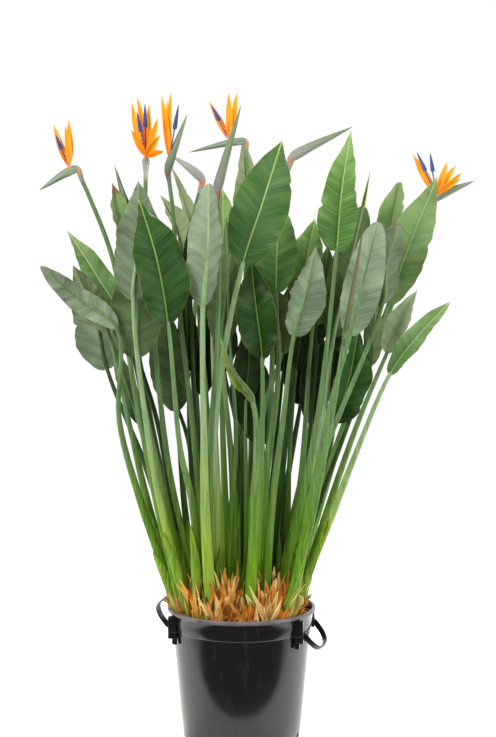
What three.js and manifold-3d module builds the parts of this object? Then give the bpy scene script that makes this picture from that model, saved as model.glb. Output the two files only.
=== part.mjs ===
// A potted bird of paradise plant in a black plastic nursery pot with two swinging strap handles.
// Millimetres, +Z up. The origin is the middle of the pot's flat underside, and -Y is the plant's front.
import * as THREE from "three";
import { mergeVertices } from "three/addons/utils/BufferGeometryUtils.js";
import Module from "manifold-3d";

const wasm = await Module();
wasm.setup();

// Driving dimensions
const CLEARANCE = 0.35; // between pieces that touch
const SIDES = 36; // of everything turned about the pot's axis
const TAU = Math.PI * 2;

const POT = {
  height: 310,
  baseRadius: 138, // outside, at the floor
  neckRadius: 166, // outside, just under the lip
  lipRadius: 174,
  lipHeight: 10,
  wall: 3,
  floor: 6,
  bandDrop: 50, // the stacking band reaches this far below the rim
  bandProud: 1.6,
  footEdge: 2.5, // how far the foot's rounded edge stands in
  lipEdge: 3,
};
const DRAIN = { count: 6, turnDeg: 12, wide: 17, tall: 15, deep: 26, past: 4 }; // past the foot's edge

const HANDLE = {
  pivotHeight: 268,
  pivotReach: 157, // from the pot's axis to the hinge line
  halfSpan: 73, // from the handle's middle to each eye
  reach: 58, // from the hinge line to the middle of the strap
  thick: 4,
  wide: 13,
  pinRadius: 3.5,
  pinPlay: 0.6,
  headRadius: 5.5,
  headThick: 2,
  sideGap: 1, // between an eye and the lug or pin head beside it
  // The middle of the strap from eye to eye, as parts of its reach and of its half span
  route: [
    [0, -1], [0.38, -0.985], [0.72, -0.86], [0.93, -0.55], [1, 0],
    [0.93, 0.55], [0.72, 0.86], [0.38, 0.985], [0, 1],
  ],
  steps: 14,
};
// Each handle's middle, as a turn about the pot from the front, and how far it is raised above level
const HANDLES = {
  handle_left: { turnDeg: -97, raiseDeg: 50 },
  handle_right: { turnDeg: 79, raiseDeg: -50 },
};
const LUG = {
  wide: 14, foot: 246, top: 298, outer: 181, inner: 160, stepFoot: 232, stepWide: 8, stepOuter: 173,
};

const SOIL = { edge: 278, crown: 290 };
const LITTER = { radius: 157, edgeRise: 15, crownRise: 24 };
const HUSKS = {
  count: 26,
  thick: 1.8,
  inset: 14, // of the outermost from the litter's edge
  sunk: 12,
  height: [34, 60], // least and greatest, away from the mounds
  moundHeight: 46,
  mounds: [{ at: -20, spread: 30 }, { at: 82, spread: 34 }], // where the husks stand higher, across the pot
  lean: [6, 20],
  wide: [14, 26],
  // Up the husk: height and half width as parts of its own, and how much of its lean it has
  shape: [{ up: 0.55, half: 0.46, curl: 0.35 }, { up: 1, half: 0.08, curl: 1 }],
};
// The ring that the pot's wall takes, which the litter keeps clear of
const POT_ROOM = { below: 30, outer: 220 };
const STEM = { foot: 256, level: 285, straightTop: 330, collarTop: 420, radius: 8 };

const COLOUR = {
  pot: 0x262725,
  soil: 0x3a2416,
  husk: 0xd09a5a,
  leafUpper: 0x35662a,
  leafUnder: 0x6f8a68,
  leafYoung: 0x7d9a4c,
  stalk: 0x6f9457,
  bud: 0x6b5650,
  sepal: 0xff8a00,
  petal: 0x3b4a9a,
};

// Leaves. root: where the petiole leaves the soil (x, y). via: points that the petiole passes. base and tip:
// the blade's ends. wide: blade width. face: which way the upper side looks, in degrees about the plant from
// the front. fold: how far each half is raised about the midrib. arch: how far the blade bows. thick: the
// petiole's radius at the soil. peak and taper: the blade's shape where it isn't the usual one.
const LEAVES = {
  leaf_left_outer: {
    root: [-139, -35], via: [[-232, -46, 560], [-280, -66, 755]],
    base: [-282, -90, 966], tip: [-451, -118, 1109],
    wide: 60, face: 215, fold: 22, arch: 26, taper: 0.1,
  },
  leaf_left_high: {
    root: [-124, 42], via: [[-205, 42, 640]], base: [-276, 50, 970], tip: [-410, 74, 1187],
    wide: 68, face: 20, fold: 24, arch: 10,
  },
  leaf_left_olive: {
    root: [-147, 8], via: [[-222, 5, 560], [-262, 2, 740]], base: [-308, -22, 955], tip: [-385, -44, 1109],
    wide: 78, face: 200, fold: 34, arch: 16,
  },
  leaf_left_broad: {
    root: [-126, 70], via: [[-218, 72, 600]], base: [-317, 68, 859], tip: [-380, 88, 1094],
    wide: 142, face: 170, fold: 12, arch: 20,
  },
  leaf_left_underside: {
    root: [-114, -68], via: [[-184, -88, 560], [-222, -105, 800]],
    base: [-243, -120, 1032], tip: [-229, -132, 1298],
    wide: 124, face: 165, fold: 16, arch: 22,
  },
  leaf_front_dark: {
    root: [-97, -96], via: [[-109, -120, 559], [-137, -150, 700]],
    base: [-161, -188, 980], tip: [-225, -176, 1256],
    wide: 128, face: 25, fold: 14, arch: 20,
  },
  leaf_left_rolled: {
    root: [-97, 102], via: [[-165, 110, 493], [-215, 122, 721]],
    base: [-271, 128, 1069], tip: [-304, 170, 1343],
    wide: 36, face: 60, fold: 66, arch: 14,
  },
  leaf_left_curled: {
    root: [-92, 66], via: [[-157, 76, 499], [-199, 90, 725]],
    base: [-277, 116, 998], tip: [-308, 128, 1301],
    wide: 106, face: 34, fold: 40, arch: 20,
  },
  leaf_left_grey: {
    root: [-116, -25], via: [[-181, -46, 586], [-219, -58, 766]],
    base: [-238, -72, 898], tip: [-236, -78, 1153],
    wide: 122, face: 185, fold: 14, arch: 16,
  },
  leaf_left_low: {
    root: [-98, 18], via: [[-132, 22, 520]], base: [-153, 31, 764], tip: [-183, 37, 1014],
    wide: 110, face: 190, fold: 30, arch: 10,
  },
  leaf_back_pale: {
    root: [-62, 96], via: [[-106, 118, 700]], base: [-139, 142, 1117], tip: [-197, 215, 1272],
    wide: 72, face: 150, fold: 36, arch: 18,
  },
  leaf_back_narrow: {
    root: [-34, 130], via: [[-94, 140, 426], [-106, 160, 704], [-116, 178, 946]],
    base: [-109, 202, 1105], tip: [-175, 288, 1346],
    wide: 44, face: 160, fold: 38, arch: 24,
  },
  leaf_centre_low: {
    root: [10, 4], via: [[26, 2, 559], [54, -2, 780]], base: [91, -6, 902], tip: [71, 8, 1064],
    wide: 86, face: 15, fold: 24, arch: 12,
  },
  leaf_front_silver: {
    root: [-68, -118], via: [[-82, -134, 559], [-84, -146, 740]],
    base: [-85, -168, 1020], tip: [-70, -205, 1292],
    wide: 98, face: 195, fold: 36, arch: -14, thick: 10, taper: -0.08,
  },
  leaf_centre_bright: {
    root: [-28, 42], via: [[-42, 34, 640]], base: [-50, 24, 1046], tip: [-44, 42, 1284],
    wide: 104, face: 10, fold: 28, arch: 16,
  },
  leaf_centre_grey: {
    root: [-12, -38], via: [[-22, -44, 640]], base: [-45, -52, 927], tip: [-26, -50, 1134],
    wide: 100, face: 180, fold: 40, arch: 10, taper: -0.08,
  },
  leaf_main: {
    root: [-54, -66], via: [[-67, -80, 600], [-52, -92, 835]], base: [2, -112, 1109], tip: [92, -72, 1391],
    wide: 132, face: 5, fold: 15, arch: 22, thick: 10,
  },
  leaf_centre_lit: {
    root: [46, -18], via: [[56, -20, 600], [84, -24, 840]], base: [80, -26, 1044], tip: [88, -12, 1262],
    wide: 104, face: 350, fold: 16, arch: 14,
  },
  leaf_centre_dark: {
    root: [30, -66], via: [[44, -74, 600]], base: [47, -71, 896], tip: [22, -49, 1122],
    wide: 104, face: 355, fold: 28, arch: 14,
  },
  leaf_low_dark: {
    root: [22, 46], via: [[42, 56, 540]], base: [50, 68, 680], tip: [4, 110, 944],
    wide: 114, face: 350, fold: 22, arch: 14,
  },
  leaf_young_rolled: {
    root: [18, -118], via: [[29, -140, 560]], base: [26, -168, 805], tip: [-46, -190, 952],
    wide: 34, face: 320, fold: 62, arch: 12, thick: 10,
  },
  leaf_right_tall: {
    root: [79, -51], via: [[137, -62, 560], [178, -74, 790]], base: [215, -86, 1140], tip: [245, -112, 1412],
    wide: 96, face: 345, fold: 22, arch: 20, peak: 0.56,
  },
  leaf_right_lit: {
    root: [60, 42], via: [[98, 48, 640]], base: [138, 70, 1022], tip: [173, 98, 1214],
    wide: 98, face: 350, fold: 30, arch: 12,
  },
  leaf_centre_silver: {
    root: [50, -98], via: [[69, -108, 559], [94, -116, 760]], base: [118, -124, 952], tip: [168, -98, 1151],
    wide: 100, face: 160, fold: 34, arch: 16,
  },
  leaf_right_wavy: {
    root: [87, 4], via: [[138, 8, 600]], base: [167, 34, 965], tip: [202, 56, 1151],
    wide: 108, face: 20, fold: 34, arch: 14,
  },
  leaf_right_grey: {
    root: [102, -17], via: [[150, -16, 559], [190, -18, 760]], base: [212, -22, 942], tip: [280, -26, 1244],
    wide: 98, face: 175, fold: 26, arch: 14, taper: -0.08,
  },
  leaf_right_big: {
    root: [104, -93], via: [[169, -118, 625], [203, -146, 810]],
    base: [241, -172, 955], tip: [298, -216, 1208],
    wide: 92, face: 170, fold: 20, arch: 18, taper: -0.08,
  },
  leaf_right_folded: {
    root: [119, -40], via: [[153, -62, 570]], base: [318, -98, 1020], tip: [348, -136, 1206],
    wide: 96, face: 200, fold: 26, arch: 16, taper: -0.08,
  },
  leaf_right_pale: {
    root: [96, 78], via: [[181, 68, 620]], base: [332, 60, 1041], tip: [373, 92, 1301],
    wide: 86, face: 340, fold: 40, arch: 16, taper: -0.08,
  },
  leaf_right_green: {
    root: [121, 42], via: [[190, 46, 579]], base: [341, 20, 1015], tip: [452, 12, 1312],
    wide: 106, face: 350, fold: 20, arch: 22,
  },
  leaf_right_small: {
    root: [125, -4], via: [[178, -14, 467], [267, -28, 739]], base: [334, -44, 908], tip: [398, -84, 1054],
    wide: 62, face: 340, fold: 30, arch: 12,
  },
  leaf_right_outer: {
    root: [106, -58], via: [[198, -86, 516], [263, -104, 691]],
    base: [334, -122, 865], tip: [463, -172, 1031],
    wide: 54, face: 335, fold: 24, arch: 20, taper: 0.2,
  },
  leaf_low_hanging: {
    root: [104, 20], via: [[160, 4, 559]], base: [218, 4, 740], tip: [271, 10, 962],
    wide: 104, face: 30, fold: 26, arch: 14,
  },
  leaf_low_brown_tip: {
    root: [67, 91], via: [[104, 102, 560]], base: [140, 120, 770], tip: [160, 172, 966],
    wide: 100, face: 345, fold: 32, arch: 14,
  },
  leaf_back_tall: {
    root: [14, 142], via: [[24, 184, 700]], base: [15, 220, 1085], tip: [3, 300, 1413],
    wide: 88, face: 170, fold: 22, arch: 24,
  },
  leaf_back_spear: {
    root: [77, 129], via: [[170, 132, 700]], base: [262, 142, 1112], tip: [308, 172, 1328],
    wide: 24, face: 0, fold: 64, arch: 8,
  },
};

// Blooms and buds. head: where the stalk meets the spathe. beak: the spathe's tip. girth: the spathe's
// half height at its thickest. sepals and arrows: the points that the orange sepals and blue petals reach.
// seat: how far along the spathe they stand, where it isn't the usual distance.
const BLOOMS = {
  bloom_left: {
    root: [-134, -56], via: [[-196, -58, 560], [-252, -42, 860], [-294, -34, 1120], [-346, -50, 1265]],
    head: [-372, -60, 1326], beak: [-457, -66, 1279], girth: 10,
    sepals: [[-424, -56, 1426], [-390, -62, 1438], [-397, -76, 1422]],
    arrows: [[-419, -68, 1404]],
  },
  bloom_twin: {
    root: [-90, -38], via: [[-168, -30, 640], [-204, -18, 980], [-219, -36, 1250]],
    head: [-217, -46, 1346], beak: [-208, -205, 1295], girth: 12,
    sepals: [
      [-246, -74, 1476], [-236, -58, 1491], [-208, -66, 1472], [-247, -96, 1413], [-188, -80, 1440],
      [-175, -70, 1365], [-182, -112, 1400],
    ],
    arrows: [[-217, -72, 1472], [-234, -88, 1453]],
  },
  bloom_back_left: {
    root: [-76, 26], via: [[-112, 34, 700], [-146, 40, 1010], [-160, 50, 1230]],
    head: [-172, 60, 1326], beak: [-127, 66, 1456], girth: 10,
    sepals: [[-186, 52, 1500], [-164, 58, 1508], [-174, 80, 1490]],
    arrows: [[-146, 50, 1478]],
  },
  bloom_centre: {
    root: [-4, 88], via: [[-4, 118, 700], [6, 124, 1010], [18, 112, 1280]],
    head: [9, 100, 1394], beak: [-122, 84, 1370], girth: 9,
    sepals: [[-76, 92, 1489], [-30, 96, 1508], [-11, 102, 1509]],
    arrows: [[-71, 78, 1479]], seat: 38,
  },
  bloom_right: {
    root: [118, 76], via: [[255, 92, 750], [362, 78, 1030], [428, 58, 1196]],
    head: [449, 54, 1258], beak: [541, 50, 1302], girth: 10,
    sepals: [
      [399, 44, 1364], [410, 58, 1354], [479, 58, 1346], [501, 66, 1339], [510, 30, 1322],
      [504, 4, 1307],
    ],
    arrows: [[439, 52, 1367], [406, 30, 1368]], seat: 0,
  },
};
const BUDS = {
  bud_back_left: {
    root: [-50, 66], via: [[-78, 92, 700], [-108, 134, 1080], [-114, 152, 1220]],
    head: [-95, 160, 1306], beak: [-168, 160, 1366], girth: 11,
  },
  bud_centre: {
    root: [-73, -92], via: [[-70, -116, 700], [-54, -122, 940], [-50, -120, 1180]],
    head: [-54, -120, 1276], beak: [-1, -122, 1464], girth: 11,
  },
  bud_right: {
    root: [38, 16], via: [[66, 20, 740], [76, 42, 1000], [86, 68, 1250]],
    head: [118, 80, 1356], beak: [258, 76, 1428], girth: 12,
  },
  bud_front_right: {
    root: [86, -116], via: [[150, -154, 500], [198, -186, 760], [216, -200, 880]],
    head: [229, -208, 968], beak: [268, -222, 1208], girth: 9,
  },
};
// Cut petiole stumps: foot, cut end and radius
const STUMPS = [
  { foot: [92, -84, 262], end: [126, -96, 396], radius: 9 },
  { foot: [100, -92, 270], end: [136, -100, 352], radius: 8 },
];

const LEAF = {
  petioleRadii: [1, 0.96, 0.8, 0.62, 0.5], // along the petiole, of its radius at the soil
  edge: 1.2,
  ribTop: 0.7,
  ribUnder: 2.4,
  bladeSteps: [0.07, 0.18, 0.31, 0.44, 0.57, 0.7, 0.82, 0.93, 1],
  tipHalf: 1.3,
  full: 0.58, // the lower, the rounder the blade's base
  peak: 0.78, // the lower, the nearer the base the blade is widest
  taper: 0.47, // the higher, the longer drawn out the tip
  waves: 2.3,
};
const SEPAL = {
  half: 8.5,
  edge: 1.2,
  steps: [0.14, 0.42, 0.76, 1],
  fold: 0.45, // radians
  bow: 0.05, // how far it bows back, as a part of its length
  root: { half: 2.2, edge: 2, rib: [1, 1] },
  room: { half: 7.5, edge: 6, rib: [3.5, 6], reach: 0.4 }, // what it needs where it passes the spathe
};
const ARROW = {
  shaft: 1.7, barb: 6.5, steps: [0.3, 0.52, 0.6, 0.8, 1], edge: 2.4, fold: 0.3, ribTop: 1, ribUnder: 1.2,
};
// Along the spathe in route spans, and its half width and half height as parts of its girth
const SPATHE = {
  sections: [[1, 0.7, 0.84], [1.7, 0.8, 1.06], [2.3, 0.64, 0.86], [2.72, 0.34, 0.46]],
  tip: 0.9,
};
const NECK = { radius: 7, arrowStart: 3, seat: 15 };
const STALK = { radii: [1, 0.85, 0.7, 0.62, 0.6] };

const vec = (p) => new THREE.Vector3(...p);
const rad = THREE.MathUtils.degToRad;

// Solids and geometries

function solidOf(geometry) {
  const bare = new THREE.BufferGeometry();
  bare.setAttribute("position", geometry.getAttribute("position").clone());
  if (geometry.index) bare.setIndex(geometry.index.clone());
  const merged = mergeVertices(bare, 1e-3);
  const triangles = [];
  for (let i = 0; i < merged.index.count; i += 3) {
    const [a, b, c] = [0, 1, 2].map((k) => merged.index.getX(i + k));
    if (a !== b && b !== c && c !== a) triangles.push(a, b, c);
  }
  return new wasm.Manifold(
    new wasm.Mesh({
      numProp: 3,
      vertProperties: Float32Array.from(merged.getAttribute("position").array),
      triVerts: Uint32Array.from(triangles),
    }),
  );
}

function geometryOf(solid) {
  const mesh = solid.getMesh();
  const geometry = new THREE.BufferGeometry();
  geometry.setAttribute("position", new THREE.BufferAttribute(Float32Array.from(mesh.vertProperties), 3));
  geometry.setIndex(Array.from(mesh.triVerts));
  return geometry;
}

const joined = (solids) => solids.reduce((all, solid) => all.add(solid));

// The largest body of a solid, without the crumbs that a cut leaves
function largest(solid) {
  return solid.decompose().reduce((best, body) => (body.volume() > best.volume() ? body : best));
}

function signedVolume(points, triangles) {
  let total = 0;
  for (let i = 0; i < triangles.length; i += 3) {
    const [a, b, c] = [0, 1, 2].map((k) => points[triangles[i + k]]);
    total += a.dot(b.clone().cross(c)) / 6;
  }
  return total;
}

// A closed body through rings of points, the first half of each ring along its upper side and the rest along
// its lower side. Upper and lower faces are split along the same diagonals, so a thin blade never
// cuts itself.
function loft(rings) {
  const size = rings[0].length;
  const half = size / 2;
  const points = rings.flat();
  const triangles = [];
  for (let i = 0; i + 1 < rings.length; i += 1) {
    for (let j = 0; j < size; j += 1) {
      const [a, b] = [i * size + j, i * size + ((j + 1) % size)];
      const [c, d] = [a + size, b + size];
      if (j >= half && j < size - 1) triangles.push(a, b, c, b, d, c);
      else triangles.push(a, b, d, a, d, c);
    }
  }
  const last = (rings.length - 1) * size;
  for (let k = 0; k + 1 < half; k += 1) {
    const [a, b, c, d] = [k, k + 1, size - 2 - k, size - 1 - k];
    triangles.push(a, c, b, a, d, c);
    triangles.push(last + a, last + b, last + c, last + a, last + c, last + d);
  }
  if (signedVolume(points, triangles) < 0) triangles.reverse();
  const geometry = new THREE.BufferGeometry().setFromPoints(points);
  geometry.setIndex(triangles);
  return geometry;
}

// Six-sided section of a stalk
function stalkRing(centre, side, up, halfWide, halfHigh) {
  return [150, 90, 30, -30, -90, -150].map((turn) =>
    centre
      .clone()
      .addScaledVector(side, halfWide * Math.cos(rad(turn)))
      .addScaledVector(up, halfHigh * Math.sin(rad(turn))),
  );
}

// Thin section folded about its middle, its left and right edges lifted by lift[0] and lift[1]
function bladeRing(centre, side, up, half, fold, edge, rib, lift = [0, 0]) {
  const ring = [];
  const out = [-1, 1].map((hand, i) => {
    const along = side.clone().multiplyScalar(hand * Math.cos(fold)).addScaledVector(up, Math.sin(fold));
    const across = up.clone().multiplyScalar(Math.cos(fold)).addScaledVector(side, -hand * Math.sin(fold));
    const point = centre.clone().addScaledVector(along, half).addScaledVector(up, lift[i]);
    return { point, across };
  });
  const at = (base, direction, distance) => base.clone().addScaledVector(direction, distance);
  ring.push(at(out[0].point, out[0].across, edge / 2));
  ring.push(at(centre, up, rib[0]));
  ring.push(at(out[1].point, out[1].across, edge / 2));
  ring.push(at(out[1].point, out[1].across, -edge / 2));
  ring.push(at(centre, up, -rib[1]));
  ring.push(at(out[0].point, out[0].across, -edge / 2));
  return ring;
}

// A frame square to the tangent, its up direction as near as it can be to the one wanted
function frameAt(tangent, wanted) {
  const up = wanted.clone().addScaledVector(tangent, -wanted.dot(tangent)).normalize();
  return { up, side: tangent.clone().cross(up) };
}

// The straight foot of a stem, and the points where it starts and ends
function stemFoot(spec) {
  const ground = vec([...spec.root, STEM.level]);
  const aim = vec(spec.via[0]).sub(ground);
  const at = (z) => ground.clone().addScaledVector(aim, (z - STEM.level) / aim.z);
  return { foot: at(STEM.foot), top: at(STEM.straightTop), collar: at(STEM.collarTop) };
}

// What the soil, the litter and the husks leave free round a stem
function stemHole(spec, frame) {
  const { foot, top, collar } = stemFoot(spec);
  const radius = (spec.thick ?? STEM.radius) + CLEARANCE * 1.3;
  const tangent = top.clone().sub(foot).normalize();
  const { up, side } = frame(tangent);
  const low = foot.clone().addScaledVector(tangent, -CLEARANCE);
  return solidOf(loft([low, collar].map((point) => stalkRing(point, side, up, radius * 1.1, radius))));
}

// Frames that a leaf and a bloom keep along their stems
function leafFrame(leaf) {
  const wanted = new THREE.Vector3(Math.sin(rad(leaf.face)), -Math.cos(rad(leaf.face)), 0.25).normalize();
  return (tangent) => frameAt(tangent, wanted);
}

function bloomDirections(bloom) {
  const [head, beak] = [vec(bloom.head), vec(bloom.beak)];
  const rise = head.clone().sub(vec(bloom.via.at(-1))).normalize();
  const reach = beak.clone().sub(head).normalize();
  return { head, beak, rise, reach, bend: rise.clone().cross(reach).normalize() };
}

function bloomFrame(bloom) {
  const { bend } = bloomDirections(bloom);
  return (tangent) => {
    const up = bend.clone().cross(tangent).normalize();
    return { up, side: tangent.clone().cross(up).normalize() };
  };
}

// Half width of a blade as a part of its greatest: round at the base, drawn out at the tip
function bladeShape(u, { peak = LEAF.peak, taper = LEAF.taper }) {
  return Math.sin(Math.PI * u ** peak) ** (LEAF.full + taper * u);
}

function radiusAlong(list, u, radius) {
  const place = u * (list.length - 1);
  const i = Math.min(Math.floor(place), list.length - 2);
  return radius * THREE.MathUtils.lerp(list[i], list[i + 1], place - i);
}

function leafBody(leaf, number) {
  const { foot, top } = stemFoot(leaf);
  const frame = leafFrame(leaf);
  const [base, tip] = [vec(leaf.base), vec(leaf.tip)];
  const chord = frame(tip.clone().sub(base).normalize());
  const middle = base.clone().lerp(tip, 0.5).addScaledVector(chord.up, leaf.arch);
  const route = [top, ...leaf.via.map(vec), base, middle, tip];
  const curve = new THREE.CatmullRomCurve3(route, false, "centripetal");
  const baseAt = (leaf.via.length + 1) / (leaf.via.length + 3);
  const thick = leaf.thick ?? STEM.radius;

  const start = frame(top.clone().sub(foot).normalize());
  const rings = [stalkRing(foot, start.side, start.up, thick * 1.1, thick)];
  const steps = 2 + leaf.via.length;
  for (let i = 0; i <= steps; i += 1) {
    const u = i / steps;
    const { up, side } = frame(curve.getTangent(u * baseAt));
    const radius = radiusAlong(LEAF.petioleRadii, u, thick);
    rings.push(stalkRing(curve.getPoint(u * baseAt), side, up, radius * 1.1, radius));
  }
  const phase = number * 1.7;
  const wave = Math.min(9, leaf.wide * 0.085);
  for (const u of LEAF.bladeSteps) {
    const t = baseAt + (1 - baseAt) * u;
    const { up, side } = frame(curve.getTangent(t));
    const half = Math.max((leaf.wide / 2) * bladeShape(u, leaf), LEAF.tipHalf);
    const fade = Math.min(1, half / 20);
    const lift = [0, 1.9].map((shift) => wave * fade * Math.sin(TAU * LEAF.waves * u + phase + shift));
    const rib = [LEAF.ribTop, THREE.MathUtils.lerp(LEAF.ribUnder, 0.6, u)];
    rings.push(bladeRing(curve.getPoint(t), side, up, half, rad(leaf.fold), LEAF.edge, rib, lift));
  }
  return solidOf(loft(rings));
}

// Stalk and spathe in one: a round stalk that turns into a long beak
function stalkSpatheBody(bloom) {
  const { foot, top } = stemFoot(bloom);
  const { head, beak, rise, reach } = bloomDirections(bloom);
  const frame = bloomFrame(bloom);
  const throat = head.clone().addScaledVector(rise, -26);
  const swell = head.clone().addScaledVector(reach, 24).addScaledVector(rise, 5);
  const route = [top, ...bloom.via.map(vec), throat, head, swell, beak];
  const curve = new THREE.CatmullRomCurve3(route, false, "centripetal");
  const span = 1 / (route.length - 1);
  const throatAt = (bloom.via.length + 1) * span;
  const start = frame(top.clone().sub(foot).normalize());
  const rings = [stalkRing(foot, start.side, start.up, STEM.radius, STEM.radius)];
  const add = (t, halfWide, halfHigh) => {
    const { up, side } = frame(curve.getTangent(t));
    rings.push(stalkRing(curve.getPoint(t), side, up, halfWide, halfHigh));
  };
  const steps = bloom.via.length + 2;
  for (let i = 0; i <= steps; i += 1) {
    const radius = radiusAlong(STALK.radii, i / steps, STEM.radius);
    add((i / steps) * throatAt, radius, radius);
  }
  for (const [along, wide, high] of SPATHE.sections) {
    add(throatAt + along * span, bloom.girth * wide, bloom.girth * high);
  }
  add(1, SPATHE.tip, SPATHE.tip);
  return solidOf(loft(rings));
}

// A pointed sepal from its seat to its tip
function sepalBody(seat, tip, face) {
  const span = tip.clone().sub(seat);
  const length = span.length();
  const { up, side } = frameAt(span.clone().normalize(), face);
  const { root } = SEPAL;
  const rings = [bladeRing(seat, side, up, root.half, SEPAL.fold, root.edge, root.rib)];
  for (const u of SEPAL.steps) {
    const half = Math.max(SEPAL.half * Math.sin(Math.PI * u ** 0.87) ** 0.8, 0.8);
    const bow = -SEPAL.bow * length * Math.sin(Math.PI * u);
    const centre = seat.clone().addScaledVector(span, u).addScaledVector(up, bow);
    rings.push(bladeRing(centre, side, up, half, SEPAL.fold, SEPAL.edge, [0.6, 0.9]));
  }
  return solidOf(loft(rings));
}

// A blue petal shaped like an arrow: a thin shaft, two barbs and a point
function arrowBody(seat, tip, face, grow = 0) {
  const direction = tip.clone().sub(seat).normalize();
  const from = seat.clone().addScaledVector(direction, NECK.arrowStart - grow);
  const to = tip.clone().addScaledVector(direction, grow);
  const { up, side } = frameAt(direction, face);
  const halves = [ARROW.shaft, ARROW.shaft, ARROW.barb, ARROW.barb * 0.62, 0.8];
  const rib = [ARROW.ribTop + grow, ARROW.ribUnder + grow];
  const edge = ARROW.edge + 2 * grow;
  const ring = (u, half) =>
    bladeRing(from.clone().lerp(to, u), side, up, half + grow, ARROW.fold, edge, rib);
  return solidOf(loft([ring(0, ARROW.shaft), ...ARROW.steps.map((u, i) => ring(u, halves[i]))]));
}

function bloomPieces(bloom) {
  const { head, rise, reach } = bloomDirections(bloom);
  const along = bloom.seat ?? NECK.seat;
  const seat = head.clone().addScaledVector(reach, along).addScaledVector(rise, bloom.girth * 0.8 + 4);
  const ball = (radius) => new THREE.IcosahedronGeometry(radius, 0).translate(seat.x, seat.y, seat.z);
  const neck = (radius) => solidOf(ball(radius));
  const front = new THREE.Vector3(0.2, -1, 0.1);
  const arrows = (grow) => joined(bloom.arrows.map((tip) => arrowBody(seat, vec(tip), front, grow)));
  const sepals = joined([neck(NECK.radius), ...bloom.sepals.map((tip) => sepalBody(seat, vec(tip), front))]);
  const clear = joined([neck(NECK.radius + CLEARANCE * 1.4), arrows(CLEARANCE)]);
  const cutSepals = largest(sepals.subtract(arrows(CLEARANCE)));
  return {
    stalk: largest(stalkSpatheBody(bloom).subtract(clear).subtract(roomRound(bloom, seat, front))),
    sepals: cutSepals,
    petals: largest(arrows(0)),
  };
}

// The room that the sepals need where they pass the spathe
function roomRound(bloom, seat, face) {
  return joined(
    bloom.sepals.map((tip) => {
      const span = vec(tip).sub(seat);
      const { up, side } = frameAt(span.clone().normalize(), face);
      const { half, edge, rib, reach } = SEPAL.room;
      const at = (u) => seat.clone().addScaledVector(span, u);
      const ring = (u) => bladeRing(at(u), side, up, half, SEPAL.fold, edge, rib);
      return solidOf(loft([ring(0), ring(reach)]));
    }),
  );
}

// Pot

const wallRadius = (z) =>
  THREE.MathUtils.mapLinear(z, 0, POT.height - POT.lipHeight, POT.baseRadius, POT.neckRadius);
const insideRadius = (z) => wallRadius(z) - POT.wall;

function turned(profile, sides = SIDES) {
  const points = profile.map(([r, z]) => new THREE.Vector2(r, z));
  return solidOf(new THREE.LatheGeometry(points, sides).rotateX(Math.PI / 2));
}

function box(size, place, turn = 0) {
  const geometry = new THREE.BoxGeometry(...size).translate(...place);
  return solidOf(geometry.rotateZ(turn));
}

function potShell() {
  const lipFoot = POT.height - POT.lipHeight;
  const bandFoot = POT.height - POT.bandDrop;
  return turned([
    [0, 0],
    [POT.baseRadius - 3 * POT.footEdge, 0],
    [wallRadius(2) - POT.footEdge, 2],
    [wallRadius(3 * POT.footEdge), 3 * POT.footEdge],
    [wallRadius(bandFoot), bandFoot],
    [wallRadius(bandFoot) + POT.bandProud, bandFoot + 2],
    [wallRadius(lipFoot) + POT.bandProud, lipFoot],
    [POT.lipRadius - 2, lipFoot],
    [POT.lipRadius, lipFoot + POT.lipEdge],
    [POT.lipRadius, POT.height - POT.lipEdge],
    [POT.lipRadius - POT.lipEdge, POT.height],
    [insideRadius(lipFoot) + 2, POT.height],
    [insideRadius(lipFoot), lipFoot],
    [insideRadius(POT.floor), POT.floor],
    [0, POT.floor],
  ]);
}

// The turn about the pot that takes a handle's own frame (+X outward, +Y along its hinge) to its place
const outwardTurn = (handle) => rad(handle.turnDeg - 90);

function cylinderAlongY(radius, from, to, place) {
  const geometry = new THREE.CylinderGeometry(radius, radius, to - from, 10);
  return geometry.translate(0, (from + to) / 2, 0).translate(place[0], 0, place[1]);
}

// One lug with its hinge pin, on the side of the handle given by hand
function lug(handle, hand) {
  const spread = HANDLE.halfSpan + HANDLE.thick / 2 + HANDLE.sideGap;
  const pivot = [HANDLE.pivotReach, HANDLE.pivotHeight];
  const mid = hand * (spread + LUG.wide / 2);
  const outer = Math.sqrt(LUG.outer ** 2 - mid ** 2);
  const inner = Math.sqrt(LUG.inner ** 2 - mid ** 2);
  const step = Math.sqrt(LUG.stepOuter ** 2 - mid ** 2);
  const block = (radius, wide, foot, top) =>
    box([radius - inner, wide, top - foot], [(radius + inner) / 2, mid, (top + foot) / 2]);
  const reach = (distance) => hand * distance;
  const rod = (radius, near, far) =>
    solidOf(cylinderAlongY(radius, Math.min(near, far), Math.max(near, far), pivot));
  const inside = HANDLE.halfSpan - HANDLE.thick / 2 - HANDLE.sideGap;
  const pieces = [
    block(outer, LUG.wide, LUG.foot, LUG.top),
    block(step, LUG.stepWide, LUG.stepFoot, LUG.foot + 2),
    rod(HANDLE.pinRadius, reach(inside - HANDLE.headThick), reach(spread + 2)),
    rod(HANDLE.headRadius, reach(inside - HANDLE.headThick), reach(inside)),
  ];
  return joined(pieces).rotate([0, 0, THREE.MathUtils.radToDeg(outwardTurn(handle))]);
}

function drainHoles() {
  const holes = [];
  for (let i = 0; i < DRAIN.count; i += 1) {
    const turn = -Math.PI / 2 + rad(DRAIN.turnDeg) + (i * TAU) / DRAIN.count;
    const middle = POT.baseRadius - DRAIN.deep / 2 + DRAIN.past;
    holes.push(box([DRAIN.deep, DRAIN.wide, DRAIN.tall + 2], [middle, 0, DRAIN.tall / 2 - 1], turn));
  }
  return joined(holes);
}

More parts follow.
